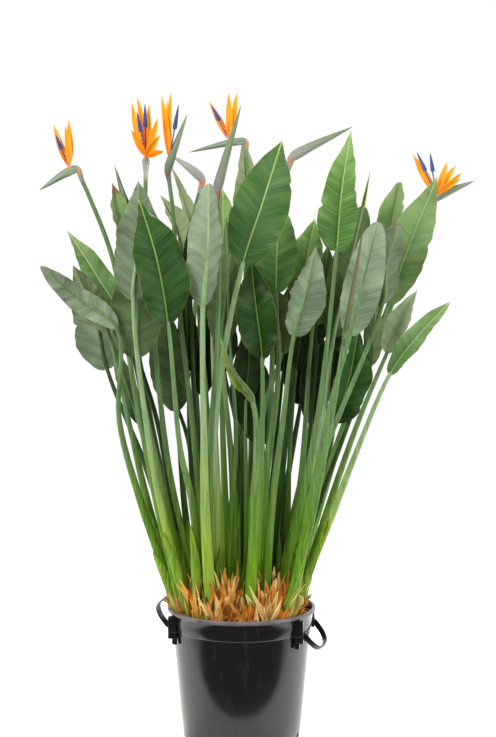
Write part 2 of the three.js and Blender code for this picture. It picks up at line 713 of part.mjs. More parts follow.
function potBody() {
  const lugs = joined(Object.values(HANDLES).flatMap((handle) => [lug(handle, -1), lug(handle, 1)]));
  const [low, high] = [POT.floor, POT.height - POT.lipHeight];
  const inside = turned([[0, low], [insideRadius(low), low], [insideRadius(high), high], [0, high]]);
  return potShell().add(lugs.subtract(inside)).subtract(drainHoles());
}

// A strap with an eye at each end. Its own frame has the hinge line along Y and its reach along +X.
function handleBody(handle) {
  const { halfSpan, reach, thick, wide, pinRadius, pinPlay } = HANDLE;
  const route = new THREE.CatmullRomCurve3(
    HANDLE.route.map(([out, along]) => new THREE.Vector3(out * reach, along * halfSpan, 0)),
  );
  const [outer, inner] = [[], []];
  for (let i = 0; i <= HANDLE.steps; i += 1) {
    const point = route.getPoint(i / HANDLE.steps);
    const tangent = route.getTangent(i / HANDLE.steps);
    const normal = new THREE.Vector2(tangent.y, -tangent.x).normalize().multiplyScalar(thick / 2);
    outer.push(new THREE.Vector2(point.x + normal.x, point.y + normal.y));
    inner.unshift(new THREE.Vector2(point.x - normal.x, point.y - normal.y));
  }
  const outline = new THREE.Shape([...outer, ...inner]);
  const band = solidOf(
    new THREE.ExtrudeGeometry(outline, { depth: wide, bevelEnabled: false }).translate(0, 0, -wide / 2),
  );
  const eye = (hand) => {
    const [near, far] = [hand * halfSpan - thick / 2, hand * halfSpan + thick / 2];
    return solidOf(cylinderAlongY(wide / 2, near, far, [0, 0]));
  };
  const hole = solidOf(cylinderAlongY(pinRadius + pinPlay, -halfSpan - thick, halfSpan + thick, [0, 0]));
  const slots = hole.subtract(box([wide, 2 * halfSpan - 3 * thick, wide], [0, 0, 0]));
  const geometry = geometryOf(joined([band, eye(-1), eye(1)]).subtract(slots));
  return geometry
    .rotateY(-rad(handle.raiseDeg))
    .translate(HANDLE.pivotReach, 0, HANDLE.pivotHeight)
    .rotateZ(outwardTurn(handle));
}

// Soil, litter and husks

const soilTop = (r) => THREE.MathUtils.lerp(SOIL.crown, SOIL.edge, r / insideRadius(SOIL.edge));

function stemHoles() {
  const blooms = [...Object.values(BLOOMS), ...Object.values(BUDS)];
  return [
    ...Object.values(LEAVES).map((leaf) => stemHole(leaf, leafFrame(leaf))),
    ...blooms.map((bloom) => stemHole(bloom, bloomFrame(bloom))),
  ];
}

function soilBody(holes) {
  const rim = insideRadius(SOIL.edge) - CLEARANCE;
  const floor = POT.floor + CLEARANCE;
  return turned([
    [0, floor],
    [insideRadius(floor) - CLEARANCE, floor],
    [rim, SOIL.edge],
    [0, SOIL.crown],
  ], SIDES / 2).subtract(holes);
}

// One dry sheath: a curled strip that stands out of the litter and leans
function husk(place, turn, height, lean, wide) {
  const out = new THREE.Vector3(Math.cos(turn), Math.sin(turn), 0);
  const side = new THREE.Vector3(-out.y, out.x, 0);
  const root = { up: -HUSKS.sunk / height, half: 0.5, curl: 0 };
  const rings = [root, ...HUSKS.shape].map(({ up, half, curl }) => {
    const centre = place.clone().addScaledVector(out, lean * curl).add(new THREE.Vector3(0, 0, up * height));
    const edge = side.clone().multiplyScalar(Math.max(wide * half, 1));
    const skin = out.clone().multiplyScalar(HUSKS.thick / 2);
    return [
      centre.clone().sub(edge).add(skin), centre.clone().add(edge).add(skin),
      centre.clone().add(edge).sub(skin), centre.clone().sub(edge).sub(skin),
    ];
  });
  return solidOf(loft(rings));
}

function seededRandom(seed) {
  let state = seed;
  return () => {
    state = (state * 1664525 + 1013904223) % 4294967296;
    return state / 4294967296;
  };
}

function litterBody(holes) {
  const random = seededRandom(7);
  const foot = (r) => soilTop(r) + CLEARANCE;
  const { radius, edgeRise, crownRise } = LITTER;
  const mat = turned([
    [0, foot(0)],
    [radius, foot(radius)],
    [radius + 1, foot(radius) + edgeRise * 0.6],
    [radius - 8, foot(radius) + edgeRise],
    [radius * 0.5, foot(radius * 0.5) + crownRise],
    [0, foot(0) + crownRise],
  ], SIDES / 2);
  const husks = [];
  const golden = Math.PI * (3 - Math.sqrt(5));
  const between = ([least, greatest]) => least + (greatest - least) * random();
  for (let i = 0; i < HUSKS.count; i += 1) {
    const r = (radius - HUSKS.inset) * Math.sqrt((i + 0.5) / HUSKS.count);
    const around = i * golden + random() * 0.3;
    const place = new THREE.Vector3(r * Math.cos(around), r * Math.sin(around), foot(r) + edgeRise);
    const swell = ({ at, spread }) => Math.exp(-(((place.x - at) / spread) ** 2));
    const mound = HUSKS.mounds.reduce((sum, each) => sum + swell(each), 0);
    const height = between(HUSKS.height) + HUSKS.moundHeight * mound * (0.5 + 0.5 * random());
    const turn = around + (random() - 0.5) * 1.6;
    husks.push(husk(place, turn, height, between(HUSKS.lean), between(HUSKS.wide)));
  }
  const stumps = STUMPS.map(({ foot: low, end, radius: r }) => {
    const route = new THREE.LineCurve3(vec(low), vec(end));
    const circle = new THREE.Shape().absarc(0, 0, r, 0, TAU);
    return solidOf(new THREE.ExtrudeGeometry(circle, { extrudePath: route, steps: 1, curveSegments: 5 }));
  });
  const lowStumps = joined(stumps).subtract(turned([
    [0, 0], [radius + 20, 0], [radius + 20, foot(radius)], [radius, foot(radius)], [0, foot(0)],
  ], SIDES / 2));
  const [rim, top] = [insideRadius(SOIL.edge) - CLEARANCE, POT.height + CLEARANCE];
  const low = SOIL.edge - POT_ROOM.below;
  const wall = [[rim, low], [POT_ROOM.outer, low], [POT_ROOM.outer, top], [rim, top], [rim, low]];
  return largest(joined([mat, ...husks, lowStumps]).subtract(holes).subtract(turned(wall)));
}

// The object

const plant = new THREE.Group();

function addNode(name, geometry, colour, roughness = 0.6) {
  const material = new THREE.MeshStandardMaterial({ color: colour, roughness, metalness: 0 });
  const mesh = new THREE.Mesh(geometry, material);
  mesh.name = name;
  plant.add(mesh);
}

const freed = joined(stemHoles());
addNode("pot", geometryOf(potBody()), COLOUR.pot, 0.25);
for (const [name, handle] of Object.entries(HANDLES)) addNode(name, handleBody(handle), COLOUR.pot, 0.5);
addNode("potting_soil", geometryOf(soilBody(freed)), COLOUR.soil, 0.95);
addNode("dry_husks", geometryOf(litterBody(freed)), COLOUR.husk, 0.85);
Object.entries(LEAVES).forEach(([name, leaf], i) => {
  const underShows = Math.abs(leaf.face - 180) < 60;
  const colour = leaf.fold > 55 ? COLOUR.leafYoung : underShows ? COLOUR.leafUnder : COLOUR.leafUpper;
  addNode(name, geometryOf(leafBody(leaf, i)), colour, 0.45);
});
for (const [name, bloom] of Object.entries(BLOOMS)) {
  const { stalk, sepals, petals } = bloomPieces(bloom);
  addNode(`${name}_stalk_spathe`, geometryOf(stalk), COLOUR.stalk, 0.55);
  addNode(`${name}_orange_sepals`, geometryOf(sepals), COLOUR.sepal, 0.55);
  addNode(`${name}_blue_petals`, geometryOf(petals), COLOUR.petal, 0.5);
}
for (const [name, bud] of Object.entries(BUDS)) {
  addNode(`${name}_stalk`, geometryOf(stalkSpatheBody(bud)), COLOUR.bud, 0.55);
}

export default plant;
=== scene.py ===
"""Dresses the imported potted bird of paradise: fine leaves, flowers, husks, handles and pot.

The tables of leaves, blooms and buds repeat the CAD source's named values in millimetres, and the curves
through them follow its formulas, so each fine piece keeps the form and place of the node that it replaces.
"""

import math
from types import SimpleNamespace

import bmesh
import bpy
import numpy as np
from mathutils import Matrix, Vector


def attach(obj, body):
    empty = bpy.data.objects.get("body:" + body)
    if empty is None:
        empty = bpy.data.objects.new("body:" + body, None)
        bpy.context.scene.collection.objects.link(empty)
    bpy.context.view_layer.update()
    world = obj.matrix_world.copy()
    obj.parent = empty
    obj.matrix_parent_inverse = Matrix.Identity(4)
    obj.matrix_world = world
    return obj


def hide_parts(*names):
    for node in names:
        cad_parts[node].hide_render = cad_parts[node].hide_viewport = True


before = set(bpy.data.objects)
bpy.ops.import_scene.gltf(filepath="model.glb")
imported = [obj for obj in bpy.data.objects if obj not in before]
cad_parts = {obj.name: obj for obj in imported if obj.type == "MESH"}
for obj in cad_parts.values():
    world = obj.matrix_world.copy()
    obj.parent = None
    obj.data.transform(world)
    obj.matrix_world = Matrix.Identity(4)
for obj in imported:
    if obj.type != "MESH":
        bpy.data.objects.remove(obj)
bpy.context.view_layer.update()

MM = 0.001  # metres in a millimetre
TAU = 2 * math.pi
rng = np.random.default_rng(12)

# Driving dimensions, in millimetres as in the CAD source

POT_HEIGHT = 310
LIP_FOOT = 300
BAND_FOOT = 260
POT_WALL = 3
POT_FLOOR = 6
BAND_PROUD = 1.6
LIP_RADIUS = 174
BASE_RADIUS = 138
NECK_RADIUS = 166
POT_SIDES = 192
DRAIN = dict(count=6, turn=12, wide=17, tall=15, deep=26, past=4)

PIVOT_HEIGHT = 268
PIVOT_REACH = 157
HALF_SPAN = 73
HANDLE_REACH = 58
STRAP_THICK = 4
STRAP_WIDE = 13
PIN_RADIUS = 3.5
EYE_HOLE = 4.1
PIN_HEAD_RADIUS = 5.5
SIDE_GAP = 1  # between an eye and the lug or pin head beside it
HANDLES = {"handle_left": dict(turn=-97, lift=50), "handle_right": dict(turn=79, lift=-50)}
LUG = dict(
    wide=14, foot=246, top=298, outer=181, inner=163, step_foot=232, step_wide=8, step_outer=173,
)

SOIL_EDGE = 278
SOIL_CROWN = 290
LITTER_RADIUS = 157
EDGE_RISE = 15
CROWN_RISE = 24

STEM_FOOT = 256
STEM_LEVEL = 285
STRAIGHT_TOP = 330
STEM_RADIUS = 8
PETIOLE_RADII = (1, 0.96, 0.8, 0.62, 0.5)
STALK_RADII = (1, 0.85, 0.7, 0.62, 0.6)
TIP_HALF = 1.3
LEAF_WAVES = 2.3

# Leaves. root: where the petiole leaves the soil (x, y). via: points that the petiole passes. base and tip:
# the blade's ends. wide: blade width. face: which way the upper side looks, in degrees about the plant from
# the front. fold: how far each half is raised about the midrib. arch: how far the blade bows. thick: the
# petiole's radius at the soil. peak and taper: the blade's shape where it isn't the usual one.
LEAVES = {
    "leaf_left_outer": dict(
        root=(-139, -35), via=[(-232, -46, 560), (-280, -66, 755)],
        base=(-282, -90, 966), tip=(-451, -118, 1109),
        wide=60, face=215, fold=22, arch=26, taper=0.1,
    ),
    "leaf_left_high": dict(
        root=(-124, 42), via=[(-205, 42, 640)], base=(-276, 50, 970), tip=(-410, 74, 1187),
        wide=68, face=20, fold=24, arch=10,
    ),
    "leaf_left_olive": dict(
        root=(-147, 8), via=[(-222, 5, 560), (-262, 2, 740)], base=(-308, -22, 955), tip=(-385, -44, 1109),
        wide=78, face=200, fold=34, arch=16,
    ),
    "leaf_left_broad": dict(
        root=(-126, 70), via=[(-218, 72, 600)], base=(-317, 68, 859), tip=(-380, 88, 1094),
        wide=142, face=170, fold=12, arch=20,
    ),
    "leaf_left_underside": dict(
        root=(-114, -68), via=[(-184, -88, 560), (-222, -105, 800)],
        base=(-243, -120, 1032), tip=(-229, -132, 1298),
        wide=124, face=165, fold=16, arch=22,
    ),
    "leaf_front_dark": dict(
        root=(-97, -96), via=[(-109, -120, 559), (-137, -150, 700)],
        base=(-161, -188, 980), tip=(-225, -176, 1256),
        wide=128, face=25, fold=14, arch=20,
    ),
    "leaf_left_rolled": dict(
        root=(-97, 102), via=[(-165, 110, 493), (-215, 122, 721)],
        base=(-271, 128, 1069), tip=(-304, 170, 1343),
        wide=36, face=60, fold=66, arch=14,
    ),
    "leaf_left_curled": dict(
        root=(-92, 66), via=[(-157, 76, 499), (-199, 90, 725)],
        base=(-277, 116, 998), tip=(-308, 128, 1301),
        wide=106, face=34, fold=40, arch=20,
    ),
    "leaf_left_grey": dict(
        root=(-116, -25), via=[(-181, -46, 586), (-219, -58, 766)],
        base=(-238, -72, 898), tip=(-236, -78, 1153),
        wide=122, face=185, fold=14, arch=16,
    ),
    "leaf_left_low": dict(
        root=(-98, 18), via=[(-132, 22, 520)], base=(-153, 31, 764), tip=(-183, 37, 1014),
        wide=110, face=190, fold=30, arch=10,
    ),
    "leaf_back_pale": dict(
        root=(-62, 96), via=[(-106, 118, 700)], base=(-139, 142, 1117), tip=(-197, 215, 1272),
        wide=72, face=150, fold=36, arch=18,
    ),
    "leaf_back_narrow": dict(
        root=(-34, 130), via=[(-94, 140, 426), (-106, 160, 704), (-116, 178, 946)],
        base=(-109, 202, 1105), tip=(-175, 288, 1346),
        wide=44, face=160, fold=38, arch=24,
    ),
    "leaf_centre_low": dict(
        root=(10, 4), via=[(26, 2, 559), (54, -2, 780)], base=(91, -6, 902), tip=(71, 8, 1064),
        wide=86, face=15, fold=24, arch=12,
    ),
    "leaf_front_silver": dict(
        root=(-68, -118), via=[(-82, -134, 559), (-84, -146, 740)],
        base=(-85, -168, 1020), tip=(-70, -205, 1292),
        wide=98, face=195, fold=36, arch=-14, thick=10, taper=-0.08,
    ),
    "leaf_centre_bright": dict(
        root=(-28, 42), via=[(-42, 34, 640)], base=(-50, 24, 1046), tip=(-44, 42, 1284),
        wide=104, face=10, fold=28, arch=16,
    ),
    "leaf_centre_grey": dict(
        root=(-12, -38), via=[(-22, -44, 640)], base=(-45, -52, 927), tip=(-26, -50, 1134),
        wide=100, face=180, fold=40, arch=10, taper=-0.08,
    ),
    "leaf_main": dict(
        root=(-54, -66), via=[(-67, -80, 600), (-52, -92, 835)], base=(2, -112, 1109), tip=(92, -72, 1391),
        wide=132, face=5, fold=15, arch=22, thick=10,
    ),
    "leaf_centre_lit": dict(
        root=(46, -18), via=[(56, -20, 600), (84, -24, 840)], base=(80, -26, 1044), tip=(88, -12, 1262),
        wide=104, face=350, fold=16, arch=14,
    ),
    "leaf_centre_dark": dict(
        root=(30, -66), via=[(44, -74, 600)], base=(47, -71, 896), tip=(22, -49, 1122),
        wide=104, face=355, fold=28, arch=14,
    ),
    "leaf_low_dark": dict(
        root=(22, 46), via=[(42, 56, 540)], base=(50, 68, 680), tip=(4, 110, 944),
        wide=114, face=350, fold=22, arch=14,
    ),
    "leaf_young_rolled": dict(
        root=(18, -118), via=[(29, -140, 560)], base=(26, -168, 805), tip=(-46, -190, 952),
        wide=34, face=320, fold=62, arch=12, thick=10,
    ),
    "leaf_right_tall": dict(
        root=(79, -51), via=[(137, -62, 560), (178, -74, 790)], base=(215, -86, 1140), tip=(245, -112, 1412),
        wide=96, face=345, fold=22, arch=20, peak=0.56,
    ),
    "leaf_right_lit": dict(
        root=(60, 42), via=[(98, 48, 640)], base=(138, 70, 1022), tip=(173, 98, 1214),
        wide=98, face=350, fold=30, arch=12,
    ),
    "leaf_centre_silver": dict(
        root=(50, -98), via=[(69, -108, 559), (94, -116, 760)], base=(118, -124, 952), tip=(168, -98, 1151),
        wide=100, face=160, fold=34, arch=16,
    ),
    "leaf_right_wavy": dict(
        root=(87, 4), via=[(138, 8, 600)], base=(167, 34, 965), tip=(202, 56, 1151),
        wide=108, face=20, fold=34, arch=14,
    ),
    "leaf_right_grey": dict(
        root=(102, -17), via=[(150, -16, 559), (190, -18, 760)], base=(212, -22, 942), tip=(280, -26, 1244),
        wide=98, face=175, fold=26, arch=14, taper=-0.08,
    ),
    "leaf_right_big": dict(
        root=(104, -93), via=[(169, -118, 625), (203, -146, 810)],
        base=(241, -172, 955), tip=(298, -216, 1208),
        wide=92, face=170, fold=20, arch=18, taper=-0.08,
    ),
    "leaf_right_folded": dict(
        root=(119, -40), via=[(153, -62, 570)], base=(318, -98, 1020), tip=(348, -136, 1206),
        wide=96, face=200, fold=26, arch=16, taper=-0.08,
    ),
    "leaf_right_pale": dict(
        root=(96, 78), via=[(181, 68, 620)], base=(332, 60, 1041), tip=(373, 92, 1301),
        wide=86, face=340, fold=40, arch=16, taper=-0.08,
    ),
    "leaf_right_green": dict(
        root=(121, 42), via=[(190, 46, 579)], base=(341, 20, 1015), tip=(452, 12, 1312),
        wide=106, face=350, fold=20, arch=22,
    ),
    "leaf_right_small": dict(
        root=(125, -4), via=[(178, -14, 467), (267, -28, 739)], base=(334, -44, 908), tip=(398, -84, 1054),
        wide=62, face=340, fold=30, arch=12,
    ),
    "leaf_right_outer": dict(
        root=(106, -58), via=[(198, -86, 516), (263, -104, 691)],
        base=(334, -122, 865), tip=(463, -172, 1031),
        wide=54, face=335, fold=24, arch=20, taper=0.2,
    ),
    "leaf_low_hanging": dict(
        root=(104, 20), via=[(160, 4, 559)], base=(218, 4, 740), tip=(271, 10, 962),
        wide=104, face=30, fold=26, arch=14,
    ),
    "leaf_low_brown_tip": dict(
        root=(67, 91), via=[(104, 102, 560)], base=(140, 120, 770), tip=(160, 172, 966),
        wide=100, face=345, fold=32, arch=14,
    ),
    "leaf_back_tall": dict(
        root=(14, 142), via=[(24, 184, 700)], base=(15, 220, 1085), tip=(3, 300, 1413),
        wide=88, face=170, fold=22, arch=24,
    ),
    "leaf_back_spear": dict(
        root=(77, 129), via=[(170, 132, 700)], base=(262, 142, 1112), tip=(308, 172, 1328),
        wide=24, face=0, fold=64, arch=8,
    ),
}

# Blooms and buds. root and via as in the leaves. head: where the stalk turns into the spathe or closed beak.
# beak: its tip. girth: its thickest radius. sepals and arrows: the tips of the sepals and arrow petals, and
# seat: how far along the spathe they stand, where it isn't the usual place.
BLOOMS = {
    "bloom_left": dict(
        root=(-134, -56), via=[(-196, -58, 560), (-252, -42, 860), (-294, -34, 1120), (-346, -50, 1265)],
        head=(-372, -60, 1326), beak=(-457, -66, 1279), girth=10,
        sepals=[(-424, -56, 1426), (-390, -62, 1438), (-397, -76, 1422)],
        arrows=[(-419, -68, 1404)],
    ),
    "bloom_twin": dict(
        root=(-90, -38), via=[(-168, -30, 640), (-204, -18, 980), (-219, -36, 1250)],
        head=(-217, -46, 1346), beak=(-208, -205, 1295), girth=12,
        sepals=[
          (-246, -74, 1476), (-236, -58, 1491), (-208, -66, 1472), (-247, -96, 1413), (-188, -80, 1440),
          (-175, -70, 1365), (-182, -112, 1400),
        ],
        arrows=[(-217, -72, 1472), (-234, -88, 1453)],
    ),
    "bloom_back_left": dict(
        root=(-76, 26), via=[(-112, 34, 700), (-146, 40, 1010), (-160, 50, 1230)],
        head=(-172, 60, 1326), beak=(-127, 66, 1456), girth=10,
        sepals=[(-186, 52, 1500), (-164, 58, 1508), (-174, 80, 1490)],
        arrows=[(-146, 50, 1478)],
    ),
    "bloom_centre": dict(
        root=(-4, 88), via=[(-4, 118, 700), (6, 124, 1010), (18, 112, 1280)],
        head=(9, 100, 1394), beak=(-122, 84, 1370), girth=9,
        sepals=[(-76, 92, 1489), (-30, 96, 1508), (-11, 102, 1509)],
        arrows=[(-71, 78, 1479)], seat=38,
    ),
    "bloom_right": dict(
        root=(118, 76), via=[(255, 92, 750), (362, 78, 1030), (428, 58, 1196)],
        head=(449, 54, 1258), beak=(541, 50, 1302), girth=10,
        sepals=[
          (399, 44, 1364), (410, 58, 1354), (479, 58, 1346), (501, 66, 1339), (510, 30, 1322),
          (504, 4, 1307),
        ],
        arrows=[(439, 52, 1367), (406, 30, 1368)], seat=0,
    ),
}

BUDS = {
    "bud_back_left": dict(
        root=(-50, 66), via=[(-78, 92, 700), (-108, 134, 1080), (-114, 152, 1220)],
        head=(-95, 160, 1306), beak=(-168, 160, 1366), girth=11,
    ),
    "bud_centre": dict(
        root=(-73, -92), via=[(-70, -116, 700), (-54, -122, 940), (-50, -120, 1180)],
        head=(-54, -120, 1276), beak=(-1, -122, 1464), girth=11,
    ),
    "bud_right": dict(
        root=(38, 16), via=[(66, 20, 740), (76, 42, 1000), (86, 68, 1250)],
        head=(118, 80, 1356), beak=(258, 76, 1428), girth=12,
    ),
    "bud_front_right": dict(
        root=(86, -116), via=[(150, -154, 500), (198, -186, 760), (216, -200, 880)],
        head=(229, -208, 968), beak=(268, -222, 1208), girth=9,
    ),
}

# The camera as it stood for the photograph: its place and pitch in millimetres and degrees, its picture in
# pixels
VIEW = dict(across=15, back=4000, up=1218, pitch=5, focal_px=1729, middle_px=(248, 368.5), tall_px=737)


def seen_at(x_px, y_px, depth):
    """The place, in whole millimetres, that shows at a point of the photograph when it has this depth."""
    pitch = math.radians(VIEW["pitch"])
    u = (x_px - VIEW["middle_px"][0]) / VIEW["focal_px"]
    v = (VIEW["middle_px"][1] - y_px) / VIEW["focal_px"]
    t = (depth + VIEW["back"]) / (math.cos(pitch) + v * math.sin(pitch))
    x = VIEW["across"] + t * u
    z = VIEW["up"] + t * (v * math.cos(pitch) - math.sin(pitch))
    return round(x), depth, round(z)


# Leaves that show only in part between the others, past the CAD part's limit of pieces. Their roots are in
# millimetres. The points of the petiole and the ends of the blade were picked on the photograph: pixels
# across and down, then the depth in millimetres.
PICKED = {
    "inner_dark_left": dict(
        root=(-60, 44), via=[(202, 560, 44), (196, 430, 52)], base=(191, 300, 60), tip=(189, 226, 66),
        wide=50, face=10, fold=24,
    ),
    "inner_narrow": dict(
        root=(-46, 0), via=[(221, 560, 0), (216, 430, 4)], base=(212, 330, 6), tip=(212, 232, 12),
        wide=40, face=170, fold=30, arch=8,
    ),
    "inner_grey": dict(
        root=(-30, -44), via=[(229, 540, -46), (236, 440, -50)], base=(229, 330, -54), tip=(226, 216, -50),
        wide=44, face=175, fold=30,
    ),
    "inner_right": dict(
        root=(82, 40), via=[(297, 540, 44), (310, 430, 50)], base=(317, 345, 52), tip=(314, 262, 60),
        wide=62, face=10, fold=26,
    ),
    "outer_right_half": dict(
        root=(128, 14), via=[(308, 540, 10), (348, 425, 6)], base=(371, 365, 4), tip=(376, 296, 0),
        wide=50, face=175, fold=24,
    ),
    "low_left_hanging": dict(
        root=(-120, 20), via=[(166, 540, 20), (150, 470, 18)], base=(139, 424, 14), tip=(112, 342, 10),
        wide=46, face=185, fold=20, arch=8,
    ),
    "low_right_shade": dict(
        root=(84, 66), via=[(293, 560, 70), (303, 480, 76)], base=(311, 424, 80), tip=(321, 328, 90),
        wide=78, face=0, fold=20,
    ),
    "low_centre_shade": dict(
        root=(46, 84), via=[(267, 540, 88), (276, 440, 94)], base=(283, 372, 98), tip=(288, 286, 104),
        wide=74, face=350, fold=20,
    ),
    "low_back_shade": dict(
        root=(-14, 46), via=[(246, 570, 50), (246, 470, 56)], base=(246, 402, 62), tip=(250, 318, 74),
        wide=66, face=10, fold=20,
    ),
    "low_inner_shade": dict(
        root=(-44, 84), via=[(230, 530, 90), (238, 440, 96)], base=(225, 372, 100), tip=(220, 292, 110),
        wide=66, face=15, fold=22,
    ),
    "left_back_shade": dict(
        root=(-92, 104), via=[(197, 540, 110), (188, 440, 118)], base=(160, 362, 126), tip=(150, 280, 134),
        wide=74, face=20, fold=20,
    ),
    "right_inner_shade": dict(
        root=(66, 52), via=[(285, 560, 56), (290, 450, 60)], base=(296, 372, 64), tip=(304, 300, 70),
        wide=50, face=10, fold=20,
    ),
    "right_gap_shade": dict(
        root=(58, 96), via=[(279, 560, 100), (292, 450, 106)], base=(304, 384, 112), tip=(314, 300, 118),
        wide=56, face=350, fold=20,
    ),
    "centre_gap_shade": dict(
        root=(-8, 88), via=[(243, 560, 92), (243, 450, 96)], base=(250, 392, 102), tip=(258, 300, 108),
        wide=54, face=10, fold=20,
    ),
    "left_inner_back": dict(
        root=(-44, 110), via=[(213, 560, 116), (206, 450, 124)], base=(203, 396, 132), tip=(206, 296, 142),
        wide=62, face=10, fold=18,
    ),
    "left_side_back": dict(
        root=(-70, 66), via=[(200, 560, 70), (190, 450, 76)], base=(188, 372, 82), tip=(184, 286, 90),
        wide=50, face=10, fold=18,
    ),
    "right_mid_back": dict(
        root=(88, 120), via=[(298, 560, 126), (322, 460, 134)], base=(332, 402, 140), tip=(338, 316, 148),
        wide=60, face=350, fold=18,
    ),
    "right_back_shade": dict(
        root=(110, 104), via=[(300, 560, 108), (330, 450, 114)], base=(342, 352, 118), tip=(350, 262, 124),
        wide=76, face=350, fold=20,
    ),
}
HIDDEN_ARCH = 10
HIDDEN_THICK = 6.4
HALF_HIDDEN = {
    name: dict(
        leaf, via=[seen_at(*point) for point in leaf["via"]], base=seen_at(*leaf["base"]),
        tip=seen_at(*leaf["tip"]), arch=leaf.get("arch", HIDDEN_ARCH), thick=HIDDEN_THICK,
    )
    for name, leaf in PICKED.items()
}


# The look of a leaf's upper face and of its underside, where it has one of its own
UPPER_TONES = {
    "leaf_left_high": "fresh", "leaf_front_dark": "dark", "leaf_left_curled": "fresh",
    "leaf_centre_low": "olive", "leaf_centre_bright": "bright",
    "leaf_main": "main", "leaf_centre_lit": "bright", "leaf_centre_dark": "dark", "leaf_low_dark": "shade",
    "leaf_young_rolled": "lime", "leaf_right_tall": "bright", "leaf_right_lit": "bright",
    "leaf_right_pale": "fresh", "leaf_right_green": "fresh",
    "leaf_right_small": "painted_lit", "leaf_right_outer": "fresh", "leaf_low_hanging": "dark",
    "leaf_low_brown_tip": "shade", "leaf_back_spear": "lime", "leaf_left_olive": "fresh",
}
UNDER_TONES = {
    "leaf_left_olive": "pale", "leaf_left_low": "painted_shade",
    "leaf_back_pale": "pale", "leaf_back_narrow": "pale", "leaf_front_silver": "silver",
    "leaf_centre_silver": "silver", "leaf_back_tall": "pale",
    "leaf_left_outer": "silver", "leaf_left_grey": "painted_shade", "leaf_right_grey": "painted_shade",
    "leaf_right_big": "silver", "leaf_centre_grey": "painted_shade", "leaf_right_small": "silver",
    "leaf_right_green": "pale",
}
# How far down from the tip a leaf has dried, as a part of its length
DRY_TIPS = {
    "leaf_left_curled": 0.1, "leaf_low_brown_tip": 0.16, "leaf_left_outer": 0.05, "leaf_right_outer": 0.05,
    "leaf_low_hanging": 0.04, "leaf_left_low": 0.06, "leaf_right_folded": 0.04,
}
LEAST_DRY = 0.007  # every leaf browns at its very end


# Small geometry tools, all in millimetres


def vec(*values):
    return np.array(values, float)


def unit(v):
    return v / np.maximum(np.linalg.norm(v, axis=-1, keepdims=True), 1e-9)


def smooth(x):
    x = np.clip(x, 0, 1)
    return x * x * (3 - 2 * x)


class Spline:
    """A centripetal Catmull-Rom curve, with each span as long in its parameter as the others."""

    def __init__(self, points):
        p = np.array(points, float)
        p = np.vstack([2 * p[0] - p[1], p, 2 * p[-1] - p[-2]])
        gap = np.sqrt(np.linalg.norm(np.diff(p, axis=0), axis=1))
        self.spans = len(p) - 3
        rows = []
        for i in range(self.spans):
            a, b, c, d = p[i : i + 4]
            g0, g1, g2 = gap[i : i + 3]
            start = ((b - a) / g0 - (c - a) / (g0 + g1) + (c - b) / g1) * g1
            end = ((c - b) / g1 - (d - b) / (g1 + g2) + (d - c) / g2) * g1
            rows.append([b, start, -3 * b + 3 * c - 2 * start - end, 2 * b - 2 * c + start + end])
        self.rows = np.array(rows)

    def _where(self, t):
        place = np.clip(np.asarray(t, float), 0, 1) * self.spans
        span = np.minimum(place.astype(int), self.spans - 1)
        return self.rows[span], (place - span)[..., None]

    def point(self, t):
        row, w = self._where(t)
        return row[..., 0, :] + w * (row[..., 1, :] + w * (row[..., 2, :] + w * row[..., 3, :]))

    def tangent(self, t):
        row, w = self._where(t)
        return unit(row[..., 1, :] + w * (2 * row[..., 2, :] + 3 * w * row[..., 3, :]))


def frame_at(tangent, wanted):
    """Side and up directions square to each tangent, up as near as it can be to the one wanted."""
    up = unit(wanted - tangent * np.sum(wanted * tangent, axis=-1, keepdims=True))
    return np.cross(tangent, up), up


class Heap:
    """Points and faces of one piece, gathered part by part, with each face's paint and each point's maps."""

    def __init__(self):
        self.points, self.faces, self.paints, self.marks = [], [], [], []
        self.count = 0

    def add(self, points, blocks, paint, marks=None):
        """Adds points and blocks of faces. paint is one for every block, or a list with one for each."""
        points = np.asarray(points, float).reshape(-1, 3)
        marks = np.zeros((len(points), 4)) if marks is None else np.asarray(marks, float).reshape(-1, 4)
        paints = [paint] * len(blocks) if isinstance(paint, str) else paint
        for block, block_paint in zip(blocks, paints):
            shifted = (np.asarray(block) + self.count).tolist()
            self.faces.extend(shifted)
            self.paints.extend([block_paint] * len(shifted))
        self.points.append(points)
        self.marks.append(marks)
        self.count += len(points)

    def build(self, name, body, nodes, sharp=42):
        """Makes the object, in metres, on its body and in the place of its nodes."""
        mesh = bpy.data.meshes.new(name)
        mesh.from_pydata((np.vstack(self.points) * MM).tolist(), [], self.faces)
        marks = np.vstack(self.marks)
        corners = np.empty(len(mesh.loops), np.int32)
        mesh.loops.foreach_get("vertex_index", corners)
        for layer, columns in (("leaf", (0, 1)), ("veins", (2, 3))):
            uv = mesh.uv_layers.new(name=layer)
            uv.data.foreach_set("uv", marks[corners][:, columns].astype(np.float32).ravel())
        names = list(dict.fromkeys(self.paints))
        for paint in names:
            mesh.materials.append(PAINTS[paint])
        order = {paint: i for i, paint in enumerate(names)}
        mesh.polygons.foreach_set("material_index", [order[paint] for paint in self.paints])
        mesh.polygons.foreach_set("use_smooth", [True] * len(mesh.polygons))
        mesh.update()
        mesh.set_sharp_from_angle(angle=math.radians(sharp))
        thing = bpy.data.objects.new(name, mesh)
        bpy.context.scene.collection.objects.link(thing)
        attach(thing, body)
        if nodes:
            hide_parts(*nodes)
        return thing


def tube_faces(rings, sides, capped=True):
    i, j = np.meshgrid(np.arange(rings - 1), np.arange(sides), indexing="ij")
    a = i * sides + j
    b = i * sides + (j + 1) % sides
    blocks = [np.stack([a, b, b + sides, a + sides], -1).reshape(-1, 4)]
    if capped:
        last = (rings - 1) * sides
        blocks += [[list(range(sides))[::-1]], [[last + k for k in range(sides)]]]
    return blocks


